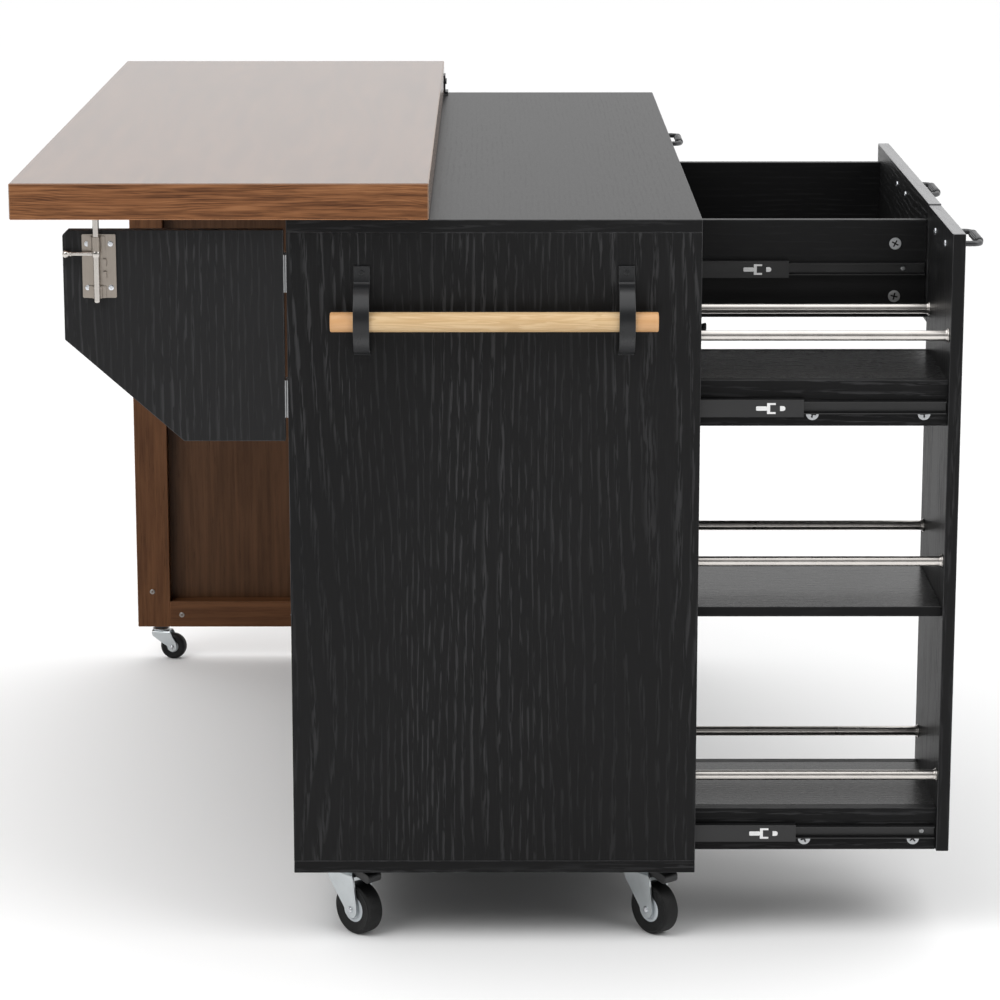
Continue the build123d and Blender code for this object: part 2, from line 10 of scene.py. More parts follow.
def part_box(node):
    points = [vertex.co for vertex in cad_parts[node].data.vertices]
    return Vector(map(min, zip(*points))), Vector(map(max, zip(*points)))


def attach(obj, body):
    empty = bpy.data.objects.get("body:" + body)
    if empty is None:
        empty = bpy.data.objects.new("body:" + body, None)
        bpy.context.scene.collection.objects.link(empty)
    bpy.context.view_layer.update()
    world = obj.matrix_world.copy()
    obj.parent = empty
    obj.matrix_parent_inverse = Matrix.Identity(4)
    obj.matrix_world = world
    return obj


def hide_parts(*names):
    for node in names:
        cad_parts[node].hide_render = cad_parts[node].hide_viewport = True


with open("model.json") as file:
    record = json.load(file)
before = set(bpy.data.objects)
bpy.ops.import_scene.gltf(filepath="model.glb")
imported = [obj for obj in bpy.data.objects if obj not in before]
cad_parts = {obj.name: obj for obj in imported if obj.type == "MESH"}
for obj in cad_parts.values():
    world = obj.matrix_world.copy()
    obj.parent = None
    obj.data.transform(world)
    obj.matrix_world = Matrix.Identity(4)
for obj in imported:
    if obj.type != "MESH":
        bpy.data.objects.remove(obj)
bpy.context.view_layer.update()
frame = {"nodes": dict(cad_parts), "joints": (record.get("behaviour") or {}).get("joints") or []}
NODES = frame["nodes"]
random.seed(40)

# ------------------------------------------------------------------ where things are
WT0, WT1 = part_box("worktop")
OX, OY, TOP = WT0.x, WT1.y, WT1.z


def P(x, y, z):
    """A point given in millimetres from the near end, the back face and the floor."""
    return Vector((OX + x / 1000, OY + y / 1000, z / 1000))


def H(h):
    """Height in millimetres of a point h below the worktop's upper face."""
    return TOP * 1000 - h


# ------------------------------------------------------------------ node helper
class Mat:
    def __init__(self, name):
        self.m = bpy.data.materials.new(name)
        self.m.use_nodes = True
        self.t = self.m.node_tree
        self.t.nodes.clear()
        self.out = self.t.nodes.new("ShaderNodeOutputMaterial")
        self.b = self.t.nodes.new("ShaderNodeBsdfPrincipled")
        self.t.links.new(self.b.outputs["BSDF"], self.out.inputs["Surface"])
        self._tc = None

    def new(self, kind, **props):
        n = self.t.nodes.new(kind)
        for k, v in props.items():
            setattr(n, k, v)
        return n

    def put(self, sock, v):
        if isinstance(v, bpy.types.NodeSocket):
            self.t.links.new(v, sock)
        elif v is not None:
            sock.default_value = v

    def tc(self, which="Object"):
        if self._tc is None:
            self._tc = self.new("ShaderNodeTexCoord")
        return self._tc.outputs[which]

    def math(self, op, a, b=None, c=None, clamp=False):
        n = self.new("ShaderNodeMath", operation=op, use_clamp=clamp)
        for i, v in enumerate((a, b, c)):
            if v is not None:
                self.put(n.inputs[i], v)
        return n.outputs[0]

    def vmath(self, op, a, b=None):
        n = self.new("ShaderNodeVectorMath", operation=op)
        self.put(n.inputs[0], a)
        if b is not None:
            self.put(n.inputs[1], b)
        return n.outputs[0]

    def sep(self, v):
        n = self.new("ShaderNodeSeparateXYZ")
        self.put(n.inputs[0], v)
        return n.outputs[0], n.outputs[1], n.outputs[2]

    def comb(self, x, y, z):
        n = self.new("ShaderNodeCombineXYZ")
        for i, v in enumerate((x, y, z)):
            self.put(n.inputs[i], v)
        return n.outputs[0]

    def mix(self, f, a, b, kind="FLOAT"):
        n = self.new("ShaderNodeMix", data_type=kind)
        i0 = {"FLOAT": (0, 2, 3, 0), "VECTOR": (0, 4, 5, 1), "RGBA": (0, 6, 7, 2)}[kind]
        self.put(n.inputs[i0[0]], f)
        self.put(n.inputs[i0[1]], a if isinstance(a, bpy.types.NodeSocket) or kind != "RGBA" else (*a, 1)[:4])
        self.put(n.inputs[i0[2]], b if isinstance(b, bpy.types.NodeSocket) or kind != "RGBA" else (*b, 1)[:4])
        return n.outputs[i0[3]]

    def noise(self, vec, scale, detail=2.0, rough=0.5, dist=0.0):
        n = self.new("ShaderNodeTexNoise")
        self.put(n.inputs["Vector"], vec)
        n.inputs["Scale"].default_value = scale
        n.inputs["Detail"].default_value = detail
        n.inputs["Roughness"].default_value = rough
        n.inputs["Distortion"].default_value = dist
        return n.outputs["Fac"]

    def step(self, v, lo, hi, a=0.0, b=1.0):
        n = self.new("ShaderNodeMapRange", interpolation_type="SMOOTHSTEP")
        self.put(n.inputs[0], v)
        n.inputs[1].default_value, n.inputs[2].default_value = lo, hi
        n.inputs[3].default_value, n.inputs[4].default_value = a, b
        return n.outputs[0]

    def bump(self, height, dist, strength=1.0, normal=None):
        n = self.new("ShaderNodeBump")
        n.inputs["Strength"].default_value = strength
        n.inputs["Distance"].default_value = dist
        self.put(n.inputs["Height"], height)
        if normal is not None:
            self.put(n.inputs["Normal"], normal)
        return n.outputs[0]

    def set(self, **kw):
        names = {"color": "Base Color", "rough": "Roughness", "metal": "Metallic", "spec": "Specular IOR Level",
                 "coat": "Coat Weight", "coat_rough": "Coat Roughness", "normal": "Normal", "sheen": "Sheen Weight",
                 "sheen_rough": "Sheen Roughness", "aniso": "Anisotropic", "ior": "IOR"}
        for k, v in kw.items():
            s = self.b.inputs[names[k]]
            if k == "color" and not isinstance(v, bpy.types.NodeSocket):
                v = (*v, 1)
            self.put(s, v)
        return self.m


def normal_masks(M):
    """How far the object-space normal points along each axis, 0 or 1, and a mask of the bevelled edges."""
    nx, ny, nz = M.sep(M.tc("Normal"))
    a = [M.math("ABSOLUTE", v) for v in (nx, ny, nz)]
    face = [M.math("GREATER_THAN", v, 0.8) for v in a]
    top = M.math("MAXIMUM", M.math("MAXIMUM", a[0], a[1]), a[2])
    edge = M.step(top, 0.97, 0.86)
    return face, edge


def grain_vec(M, main, alt=None, mask=None, seed=0.0):
    """Position with the grain direction last: (across, across, along). Where mask is 1 the grain runs along alt."""
    xyz = M.sep(M.tc("Object"))

    def order(g):
        t = [i for i in range(3) if i != g]
        return M.comb(M.math("ADD", xyz[t[0]], seed), M.math("ADD", xyz[t[1]], seed * 0.37), xyz[g])

    v = order(main)
    if alt is not None and mask is not None:
        v = M.mix(mask, v, order(alt), "VECTOR")
    return v


def scaled(M, v, a, b, c):
    return M.vmath("MULTIPLY", v, (a, b, c))


# ------------------------------------------------------------------ materials
def black_board(name, main, alt, seed, pore=0.026, base=0.0056, rough=0.36, spec=0.11, kind="board", ring_k=80.0,
                ring_n=24.0, relief=1.0):
    """Black laminate pressed with an open-pored ash grain: cathedral rings drawn by short pale pores."""
    M = Mat(name)
    face, edge = normal_masks(M)
    if kind == "drawer":       # side boards run along Y, cross boards along X
        v = grain_vec(M, 1, 0, face[1], seed)
    else:
        v = grain_vec(M, main, alt, face[main], seed)
    big = M.noise(scaled(M, v, 4.2, 4.2, 0.45), 1.0, 2.0, 0.45)
    wob = M.noise(scaled(M, v, 26, 26, 5.0), 1.0, 2.0, 0.5)
    across = M.sep(v)
    u = M.math("ADD", across[0], across[1])
    f = M.math("ADD", M.math("MULTIPLY", u, ring_k), M.math("MULTIPLY", big, ring_n))
    f = M.math("ADD", f, M.math("MULTIPLY", wob, 1.1))
    ring = M.math("FRACT", f)
    early = M.math("MULTIPLY", M.step(ring, 0.0, 0.16), M.step(ring, 0.62, 0.22))
    zone = M.step(M.noise(scaled(M, v, 9, 9, 1.6), 1.0, 1.0), 0.36, 0.62)
    p1 = M.step(M.noise(scaled(M, v, 400, 400, 30), 1.0, 1.5, 0.55), 0.47, 0.58)
    p2 = M.step(M.noise(scaled(M, v, 760, 760, 60), 1.0, 1.0, 0.5), 0.57, 0.66)
    pores = M.math("MULTIPLY", p1, M.math("MULTIPLY_ADD", early, 0.94, 0.05))
    pores = M.math("MAXIMUM", pores, M.math("MULTIPLY", p2, M.math("MULTIPLY", early, 0.5)))
    pores = M.math("MULTIPLY", pores, M.math("MULTIPLY_ADD", zone, 0.65, 0.35), clamp=True)
    tone = M.math("MULTIPLY", M.noise(scaled(M, v, 3, 3, 1.2), 1.0, 2.0), 0.006)
    val = M.math("ADD", M.math("MULTIPLY_ADD", pores, pore, base), tone)
    # bevelled edges are lightened, broken up by noise: a painted highlight along the edges
    edge_highlight = M.math("MULTIPLY", edge, M.step(M.noise(scaled(M, v, 60, 60, 30), 1.0, 3.0, 0.6), 0.3, 0.75, 0.35, 1.0))
    val = M.math("ADD", val, M.math("MULTIPLY", edge_highlight, 0.05))
    col = M.comb(val, M.math("MULTIPLY", val, 1.0), M.math("MULTIPLY", val, 1.035))
    fine = M.noise(scaled(M, v, 1500, 1500, 160), 1.0, 2.0, 0.6)
    r = M.math("ADD", M.math("MULTIPLY", pores, 0.16 * relief), M.math("MULTIPLY_ADD", fine, 0.10, rough - 0.05))
    height = M.math("ADD", M.math("MULTIPLY", pores, -1.0), M.math("MULTIPLY", fine, 0.22))
    n = M.bump(height, 0.00022 * relief, 0.85 * relief ** 0.5)
    M.b.inputs["Specular IOR Level"].default_value = spec
    return M.set(color=col, rough=r, normal=n)


def walnut(name, main, alt, seed, light, mid, dark, rough=0.28, spec=0.5, streak=1.0, frame_box=None, coat=0.0, fine=210.0, dense=0.0,
           polish=0.0):
    """Walnut foil: warm body with darker streaks and fine pores along the grain."""
    M = Mat(name)
    face, edge = normal_masks(M)
    mask = face[main]
    if frame_box is not None:      # cross rails of a frame run the other way
        y = M.sep(M.tc("Object"))[1]
        inside = M.math("MULTIPLY", M.math("GREATER_THAN", y, frame_box[0]), M.math("LESS_THAN", y, frame_box[1]))
        mask = M.math("MAXIMUM", mask, inside)
    v = grain_vec(M, main, alt, mask, seed)
    big = M.noise(scaled(M, v, 7, 7, 0.9), 1.0, 2.0, 0.5)
    band = M.noise(scaled(M, v, 45, 45, 2.2), 1.0, 3.0, 0.55, 0.3)
    st = M.noise(scaled(M, v, fine, fine, 7.5 * fine / 210.0), 1.0, 3.0, 0.6, 0.2)
    fibre = M.noise(scaled(M, v, 900, 900, 28), 1.0, 2.0, 0.6)
    f = M.math("FRACT", M.math("ADD", M.math("MULTIPLY", big, 17.0), M.math("MULTIPLY", band, 2.2)))
    late = M.math("MULTIPLY", M.step(f, 0.0, 0.55), M.step(f, 1.0, 0.72))
    k = M.math("ADD", M.math("MULTIPLY", M.step(band, 0.30, 0.72), 0.42), M.math("MULTIPLY", late, 0.24))
    k = M.math("ADD", k, M.math("MULTIPLY", M.step(st, 0.36, 0.68), 0.55 * streak))
    k = M.math("ADD", k, M.math("MULTIPLY", M.step(fibre, 0.40, 0.70), 0.16 * streak * (1.0 - polish)))
    if dense:                      # thin wavy veins packed closely along the grain
        wave = M.noise(scaled(M, v, 18, 18, 6.0), 1.0, 2.0, 0.5)
        xyz = M.sep(v)
        g = M.math("ADD", M.math("MULTIPLY", M.math("ADD", xyz[0], xyz[1]), 330.0), M.math("MULTIPLY", wave, 9.0))
        g = M.math("FRACT", M.math("ADD", g, M.math("MULTIPLY", band, 3.0)))
        vein = M.math("MULTIPLY", M.step(g, 0.0, 0.30), M.step(g, 0.75, 0.35))
        gate = M.step(M.noise(scaled(M, v, 60, 60, 9.0), 1.0, 2.0, 0.5), 0.36, 0.62)
        k = M.math("ADD", k, M.math("MULTIPLY", M.math("MULTIPLY", vein, gate), dense))
    k = M.math("MULTIPLY", k, 0.80, clamp=True)
    ramp = M.new("ShaderNodeValToRGB")
    e = ramp.color_ramp.elements
    e[0].position, e[0].color = 0.0, (*light, 1)
    e[1].position, e[1].color = 1.0, (*dark, 1)
    mm = ramp.color_ramp.elements.new(0.48)
    mm.color = (*mid, 1)
    M.put(ramp.inputs[0], k)
    pore = M.math("MULTIPLY", M.step(M.noise(scaled(M, v, 1300, 1300, 40), 1.0, 1.0), 0.60, 0.70), M.step(st, 0.35, 0.6))
    col = M.mix(M.math("MULTIPLY", pore, 0.45 * (1.0 - polish)), ramp.outputs[0], tuple(c * 0.35 for c in dark), "RGBA")
    # bevelled edges are mixed towards a paler walnut: a painted highlight along the edges
    col = M.mix(M.math("MULTIPLY", edge, 0.35), col, tuple(min(1, c * 1.9 + 0.03) for c in light), "RGBA")
    r = M.math("ADD", M.math("MULTIPLY", fibre, 0.10 * (1.0 - polish)), M.math("MULTIPLY_ADD", pore, 0.10 * (1.0 - polish), rough - 0.05))
    h = M.math("SUBTRACT", M.math("MULTIPLY", fibre, 0.5), pore)
    n = M.bump(h, 0.00003 * (1.0 - 0.9 * polish), 0.5 * (1.0 - 0.8 * polish))
    M.b.inputs["Specular IOR Level"].default_value = spec
    M.b.inputs["Coat Weight"].default_value = coat
    M.b.inputs["Coat Roughness"].default_value = 0.10
    return M.set(color=col, rough=r, normal=n)


def metal(name, color, rough, axis=None, brushed=0.0, spots=0.0, edge_glint=0.0, bumpd=0.00004, metallic=1.0):
    M = Mat(name)
    face, edge = normal_masks(M)
    p = M.tc("Object")
    cloud = M.noise(p, 34.0, 4.0, 0.6)
    fine = M.noise(p, 900.0, 2.0, 0.6)
    if axis is not None:
        s = [900.0, 900.0, 900.0]
        s[axis] = 9.0
        fine = M.noise(scaled(M, p, *s), 1.0, 2.0, 0.6)
    k = M.math("ADD", M.math("MULTIPLY_ADD", cloud, 0.34, -0.17), M.math("MULTIPLY_ADD", fine, brushed, -brushed / 2))
    k = M.math("ADD", k, 1.0)
    c = M.new("ShaderNodeVectorMath", operation="SCALE")
    c.inputs[0].default_value = color
    M.put(c.inputs["Scale"], k)
    col = c.outputs[0]
    # bevelled edges are mixed towards grey: a painted highlight along the edges
    if edge_glint:
        col = M.mix(M.math("MULTIPLY", edge, edge_glint), col, (0.45, 0.45, 0.46), "RGBA")
    if spots:
        sp = M.step(M.noise(p, 260.0, 3.0, 0.7), 0.62, 0.74)
        col = M.mix(M.math("MULTIPLY", sp, spots), col, tuple(v * 0.45 for v in color), "RGBA")
    r = M.math("ADD", M.math("MULTIPLY", cloud, 0.12), M.math("MULTIPLY_ADD", fine, 0.12, rough - 0.12))
    n = M.bump(fine, bumpd, 0.5)
    if name == "hook_black":
        M.b.inputs["Specular IOR Level"].default_value = 0.3
    return M.set(color=col, rough=r, metal=metallic, normal=n)


def plastic(name, color, rough, grain=260.0, d=0.00005, spec=0.5):
    M = Mat(name)
    p = M.tc("Object")
    a = M.noise(p, grain * 4, 3.0, 0.6)
    b = M.noise(p, 25.0, 3.0, 0.5)
    c = M.new("ShaderNodeVectorMath", operation="SCALE")
    c.inputs[0].default_value = color
    M.put(c.inputs["Scale"], M.math("MULTIPLY_ADD", b, 0.5, 0.75))
    r = M.math("ADD", M.math("MULTIPLY", b, 0.14), M.math("MULTIPLY_ADD", a, 0.10, rough - 0.12))
    M.b.inputs["Specular IOR Level"].default_value = spec
    return M.set(color=c.outputs[0], rough=r, normal=M.bump(a, d, 0.6))


def rubber(name):
    M = Mat(name)
    p = M.tc("Object")
    a = M.noise(p, 1400.0, 3.0, 0.6)
    dust = M.step(M.noise(p, 70.0, 4.0, 0.65), 0.45, 0.8)
    v = M.math("MULTIPLY_ADD", dust, 0.008, 0.005)
    r = M.math("MULTIPLY_ADD", a, 0.2, 0.46)
    M.b.inputs["Specular IOR Level"].default_value = 0.3
    return M.set(color=M.comb(v, v, M.math("MULTIPLY", v, 1.03)), rough=r, normal=M.bump(a, 0.00008, 0.7))


def pine(name):
    """Clear-finished softwood dowel, with the grain along Y; the ends past the hooks are warmer."""
    M = Mat(name)
    x, y, z = M.sep(M.tc("Object"))
    v = M.comb(x, z, y)
    big = M.noise(scaled(M, v, 60, 60, 5.0), 1.0, 3.0, 0.55, 0.4)
    fib = M.noise(scaled(M, v, 700, 700, 22), 1.0, 3.0, 0.6)
    f = M.math("FRACT", M.math("MULTIPLY", big, 9.0))
    late = M.math("MULTIPLY", M.step(f, 0.1, 0.7), M.step(f, 1.0, 0.85))
    k = M.math("ADD", M.math("MULTIPLY", late, 0.40), M.math("MULTIPLY", fib, 0.5), clamp=True)
    col = M.mix(k, (0.70, 0.51, 0.29), (0.50, 0.31, 0.135), "RGBA")
    b0, b1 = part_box("towel_dowel")
    mid = (b0.y + b1.y) / 2
    off = M.math("ABSOLUTE", M.math("SUBTRACT", y, mid))
    end = M.step(off, 0.158, 0.166)
    col = M.mix(M.math("MULTIPLY", end, 0.75), col, (0.60, 0.31, 0.13), "RGBA")
    knot = M.step(M.noise(scaled(M, v, 24, 24, 14.0), 1.0, 1.0), 0.70, 0.80)
    col = M.mix(M.math("MULTIPLY", knot, 0.5), col, (0.40, 0.20, 0.08), "RGBA")
    r = M.math("MULTIPLY_ADD", fib, 0.15, 0.34)
    return M.set(color=col, rough=r, normal=M.bump(fib, 0.00005, 0.5))


gl0, gl1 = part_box("leg_panel")
MATS = {
    "board_top": black_board("board_top", 0, 1, 0.0, pore=0.012, base=0.0062, rough=0.34, spec=0.13, ring_k=150.0, ring_n=5.0, relief=0.22),
    "board_low": black_board("board_low", 0, 1, 11.2, spec=0.075),
    "tier_top": black_board("tier_top", 1, 0, 12.3, pore=0.012, base=0.0065, rough=0.27, spec=0.30, ring_k=120.0, ring_n=7.0, relief=0.35),
    # fronts' top faces: a pale grey base that paints on the sheen of the glossy edge band
    "band_painted_sheen": black_board("band_painted_sheen", 0, 1, 13.3, pore=0.06, base=0.15, rough=0.24, spec=0.80),
    "board_face": black_board("board_face", 0, 1, 0.0),
    "board_end": black_board("board_end", 2, 1, 3.1),
    "board_z": black_board("board_z", 2, 1, 5.7),
    "board_bracket": black_board("board_bracket", 2, 1, 9.3, pore=0.022, base=0.012, ring_n=14.0, ring_k=100.0),
    "board_x": black_board("board_x", 0, 2, 7.9, spec=0.11),
    "board_y": black_board("board_y", 1, 0, 2.3, spec=0.08),
    "board_front": black_board("board_front", 2, 0, 4.4, spec=0.105),
    "board_drawer": black_board("board_drawer", 1, 0, 6.1, kind="drawer", pore=0.006, base=0.0075, ring_n=10.0, ring_k=120.0, relief=0.5),
    "thin_board": black_board("thin_board", 2, 0, 8.2, pore=0.012, base=0.007, rough=0.5),
    "walnut_top": walnut("walnut_top", 0, 1, 1.4, (0.165, 0.084, 0.046), (0.115, 0.056, 0.030), (0.070, 0.033, 0.018),
                         rough=0.26, streak=0.35, coat=0.30, spec=0.40, polish=1.0),
    "walnut_edge": walnut("walnut_edge", 0, 1, 1.4, (0.340, 0.156, 0.069), (0.205, 0.084, 0.033), (0.075, 0.028, 0.011),
                          rough=0.34, streak=1.0, spec=0.16, fine=430.0, dense=0.34),
    "walnut_side": walnut("walnut_side", 0, 1, 1.4, (0.20, 0.115, 0.066), (0.14, 0.078, 0.045), (0.08, 0.042, 0.024),
                          rough=0.26, streak=0.6, coat=0.10, spec=0.40),
    "walnut_leg": walnut("walnut_leg", 2, 1, 2.9, (0.172, 0.076, 0.033), (0.126, 0.054, 0.023), (0.076, 0.031, 0.014),
                         rough=0.36, streak=0.7, frame_box=(gl0.y, gl1.y), spec=0.13),
    "walnut_panel": walnut("walnut_panel", 2, 1, 5.2, (0.124, 0.060, 0.030), (0.090, 0.043, 0.021),
                           (0.056, 0.026, 0.013), rough=0.36, streak=0.65, spec=0.13),
    "nylon": plastic("nylon", (0.72, 0.72, 0.69), 0.5),
    "black_metal": metal("black_metal", (0.022, 0.023, 0.025), 0.34, edge_glint=0.10, metallic=0.0),
    "pine": pine("pine"),
    "hook_black": metal("hook_black", (0.013, 0.0135, 0.0145), 0.30, edge_glint=0.05, metallic=0.0),
    "cam_zinc": metal("cam_zinc", (0.44, 0.45, 0.46), 0.36, brushed=0.14, spots=0.35),
    "zinc": metal("zinc", (0.60, 0.635, 0.65), 0.38, brushed=0.10, spots=0.12),
    "satin_nickel": metal("satin_nickel", (0.33, 0.292, 0.255), 0.36, axis=2, brushed=0.22, spots=0.10),
    "bright_nickel": metal("bright_nickel", (0.52, 0.49, 0.46), 0.22, brushed=0.12),
    "caster_rubber": rubber("caster_rubber"),
    "hub_grey": plastic("hub_grey", (0.58, 0.62, 0.65), 0.38),
    "black_plastic": plastic("black_plastic", (0.014, 0.014, 0.015), 0.38),
    "chrome_tube": metal("chrome_tube", (0.62, 0.59, 0.56), 0.29, axis=1, brushed=0.10),
    "slide_steel": metal("slide_steel", (0.009, 0.009, 0.0095), 0.38, axis=1, brushed=0.3, edge_glint=0.09, metallic=0.0),
    "white_plastic": plastic("white_plastic", (0.80, 0.80, 0.80), 0.4),
    "hinge_zinc": metal("hinge_zinc", (0.36, 0.365, 0.37), 0.42, brushed=0.10, spots=0.20),
    "screw_leg": metal("screw_leg", (0.34, 0.32, 0.30), 0.40, brushed=0.12, spots=0.45),
    "screw_zinc": metal("screw_zinc", (0.66, 0.68, 0.71), 0.28, brushed=0.12, spots=0.15),
}

USE = {
    "board_face": ["worktop"],
    "board_low": ["bottom_board"],
    "board_end": ["near_end_panel", "far_end_panel"],
    "board_z": ["dividers"],
    "board_bracket": ["bracket_board"],
    "board_x": ["middle_drawer_front", "far_drawer_front", "cabinet_shelves"],
    "board_y": ["pullout_shelves", "pullout_side_boards"],
    "board_front": ["pullout_front", "pullout_back", "door_middle_near", "door_middle_far", "door_far"],
    "board_drawer": ["middle_drawer_walls", "far_drawer_box"],
    "thin_board": ["back_panel", "middle_drawer_bottom"],
    "walnut_edge": ["leaf_top"],
    "walnut_leg": ["leg_frame"],
    "walnut_panel": ["leg_panel"],
    "nylon": ["leaf_guide_shoes"],
    "black_metal": ["leaf_stop_bracket", "pullout_handle", "middle_drawer_handle", "far_drawer_handle",
                    "knob_middle_near", "knob_middle_far", "knob_far", "towel_hooks"],
    "pine": ["towel_dowel"],
    "hinge_zinc": ["hinge_fixed_leaves", "bracket_hinge_leaves", "leg_hinge_leaves"],
    "zinc": ["caster_plates", "door_hinge_arms",
             "leg_caster_fork", "caster_fork_1", "caster_fork_2", "caster_fork_3", "caster_fork_4"],
    "satin_nickel": ["bolt_plate"],
    "bright_nickel": ["bolt_rod", "bolt_knob"],
    "caster_rubber": ["leg_caster_wheel", "caster_wheel_1", "caster_wheel_2", "caster_wheel_3", "caster_wheel_4"],
    "black_plastic": ["brake_pedal_1", "brake_pedal_2"],
    "chrome_tube": ["pullout_guard_rails"],
    "slide_steel": ["slide_cabinet_members", "pullout_slide_members", "pullout_mid_members",
                    "middle_drawer_slide_members", "middle_mid_members", "far_drawer_slide_members"],
}
used = set()
for mname, names in USE.items():
    for n in names:
        o = NODES[n]
        o.data.materials.clear()
        o.data.materials.append(MATS[mname])
        used.add(n)
assert used == set(NODES), sorted(set(NODES) - used)
# upward faces of some boards take a second finish, where the foil is smoother or polished; on the fronts' top edge
# bands it is a much paler grey, a painted sheen
UP = {"board_top": ["worktop"], "walnut_top": ["leaf_top"], "tier_top": ["pullout_shelves"],
      "band_painted_sheen": ["pullout_front", "middle_drawer_front", "far_drawer_front"]}
for mname, names in UP.items():
    for n in names:
        me = NODES[n].data
        me.materials.append(MATS[mname])
        for f in me.polygons:
            f.material_index = 1 if f.normal.z > 0.7 else 0

leaf_mesh = NODES["leaf_top"].data          # the long edges are glossier than the short ones
leaf_mesh.materials.append(MATS["walnut_side"])
for f in leaf_mesh.polygons:
    if abs(f.normal.y) > 0.7:
        f.material_index = 2

# ------------------------------------------------------------------ geometry helpers
def frame_at(x, y, z, zdir, xdir=None):
    """Matrix from local millimetres to the row frame, local Z along zdir."""
    zd = Vector(zdir).normalized()
    if xdir is None:
        xdir = (0, 0, 1) if abs(zd.z) < 0.9 else (1, 0, 0)
    xd = Vector(xdir)
    xd = (xd - zd * xd.dot(zd)).normalized()
    yd = zd.cross(xd)
    o = P(x, y, z)
    m = Matrix(((xd.x, yd.x, zd.x, 0), (xd.y, yd.y, zd.y, 0), (xd.z, yd.z, zd.z, 0), (0, 0, 0, 1)))
    return Matrix.Translation(o) @ m @ Matrix.Scale(0.001, 4)


class Shape:
    """Collects lathed, swept and extruded solids into one mesh."""

    def __init__(self):
        self.bm = bmesh.new()

    def ring(self, pts):
        return [self.bm.verts.new(p) for p in pts]

    def skin(self, a, b):
        n = len(a)
        for i in range(n):
            j = (i + 1) % n
            self.bm.faces.new((a[i], a[j], b[j], b[i]))

    def lathe(self, M, prof, segs=40, closed=False, flute=None):
        """prof holds (radius, height); flute = (count, depth, h0, h1) cuts lengthwise grooves."""
        rings = []
        for r, t in prof:
            if r <= 1e-6:
                rings.append([self.bm.verts.new(M @ Vector((0, 0, t)))])
                continue
            pts = []
            for i in range(segs):
                a = 2 * math.pi * i / segs
                rr = r
                if flute and flute[2] <= t <= flute[3]:
                    rr = r - flute[1] * (0.5 - 0.5 * math.cos(flute[0] * a)) ** 2
                pts.append(M @ Vector((rr * math.cos(a), rr * math.sin(a), t)))
            rings.append(self.ring(pts))
        if closed:
            rings.append(rings[0])
        for a, b in zip(rings, rings[1:]):
            if len(a) == 1 and len(b) == 1:
                continue
            if len(a) == 1 or len(b) == 1:
                one, many = (a[0], b) if len(a) == 1 else (b[0], a)
                for i in range(len(many)):
                    self.bm.faces.new((one, many[i], many[(i + 1) % len(many)]))
            else:
                self.skin(a, b)
        return self

    def tube(self, M, path, r, segs=20):
        """Round bar along a path of local points, capped at both ends."""
        path = [Vector(p) for p in path]
        up = Vector((0, 0, 1))
        rings = []
        for i, p in enumerate(path):
            d = (path[min(i + 1, len(path) - 1)] - path[max(i - 1, 0)]).normalized()
            s = d.cross(up).normalized()
            u = s.cross(d).normalized()
            rr = r[i] if isinstance(r, (list, tuple)) else r
            rings.append(self.ring([M @ (p + (s * math.cos(2 * math.pi * k / segs) + u * math.sin(2 * math.pi * k / segs)) * rr)
                                    for k in range(segs)]))
        for a, b in zip(rings, rings[1:]):
            self.skin(a, b)
        self.bm.faces.new(rings[0][::-1])
        self.bm.faces.new(rings[-1])
        return self

    def prism(self, M, outline, z0, z1):
        a = self.ring([M @ Vector((x, y, z0)) for x, y in outline])
        b = self.ring([M @ Vector((x, y, z1)) for x, y in outline])
        self.skin(a, b)
        self.bm.faces.new(a[::-1])
        self.bm.faces.new(b)
        return self

    def strap(self, M, path, t, w):
        """Flat strip along a path of local (x, z) points, t thick across the path and w wide along local Y."""
        n = len(path)
        rings = []
        for i in range(n):
            a, b = Vector(path[max(i - 1, 0)]), Vector(path[min(i + 1, n - 1)])
            d = (b - a).normalized()
            q = Vector((-d.y, d.x)) * t / 2
            p = Vector(path[i])
            c = [(p + q, -w / 2), (p + q, w / 2), (p - q, w / 2), (p - q, -w / 2)]
            rings.append(self.ring([M @ Vector((v.x, y, v.y)) for v, y in c]))
        for a, b in zip(rings, rings[1:]):
            self.skin(a, b)
        self.bm.faces.new(rings[0][::-1])
        self.bm.faces.new(rings[-1])
        return self

    def head(self, M, r, h, arm=0.50, half=0.105, depth=0.7, flat=0.62, turn=0.4, sink=0.6):
        """Round screw or cam head with a real cross recess, h proud of the local XY plane."""
        n = 32
        prof = [(r * 0.98, -sink), (r, -0.02), (r, h * 0.30), (r * 0.93, h * 0.72), (r * (flat + 0.16), h * 0.95), (r * flat, h)]
        rings = []
        for rr, t in prof:
            rings.append(self.ring([M @ Vector((rr * math.cos(2 * math.pi * i / n), rr * math.sin(2 * math.pi * i / n), t))
                                    for i in range(n)]))
        for a, b in zip(rings, rings[1:]):
            self.skin(a, b)
        self.bm.faces.new(rings[0][::-1])
        L, w = r * arm, r * half
        plus = [(L, -w), (L, w), (w, w), (w, L), (-w, L), (-w, w), (-L, w), (-L, -w), (-w, -w), (-w, -L), (w, -L), (w, -w)]
        c, s = math.cos(turn), math.sin(turn)
        plus = [(x * c - y * s, x * s + y * c) for x, y in plus]
        top = self.ring([M @ Vector((x, y, h)) for x, y in plus])
        low = self.ring([M @ Vector((x * 0.8, y * 0.8, h - depth)) for x, y in plus])
        self.skin(top, low)
        self.bm.faces.new(low)
        edges = []
        for loop in (rings[-1], top):
            for i in range(len(loop)):
                e = self.bm.edges.get((loop[i], loop[(i + 1) % len(loop)]))
                edges.append(e)
        bmesh.ops.triangle_fill(self.bm, use_beauty=True, use_dissolve=False, edges=edges)
        return self

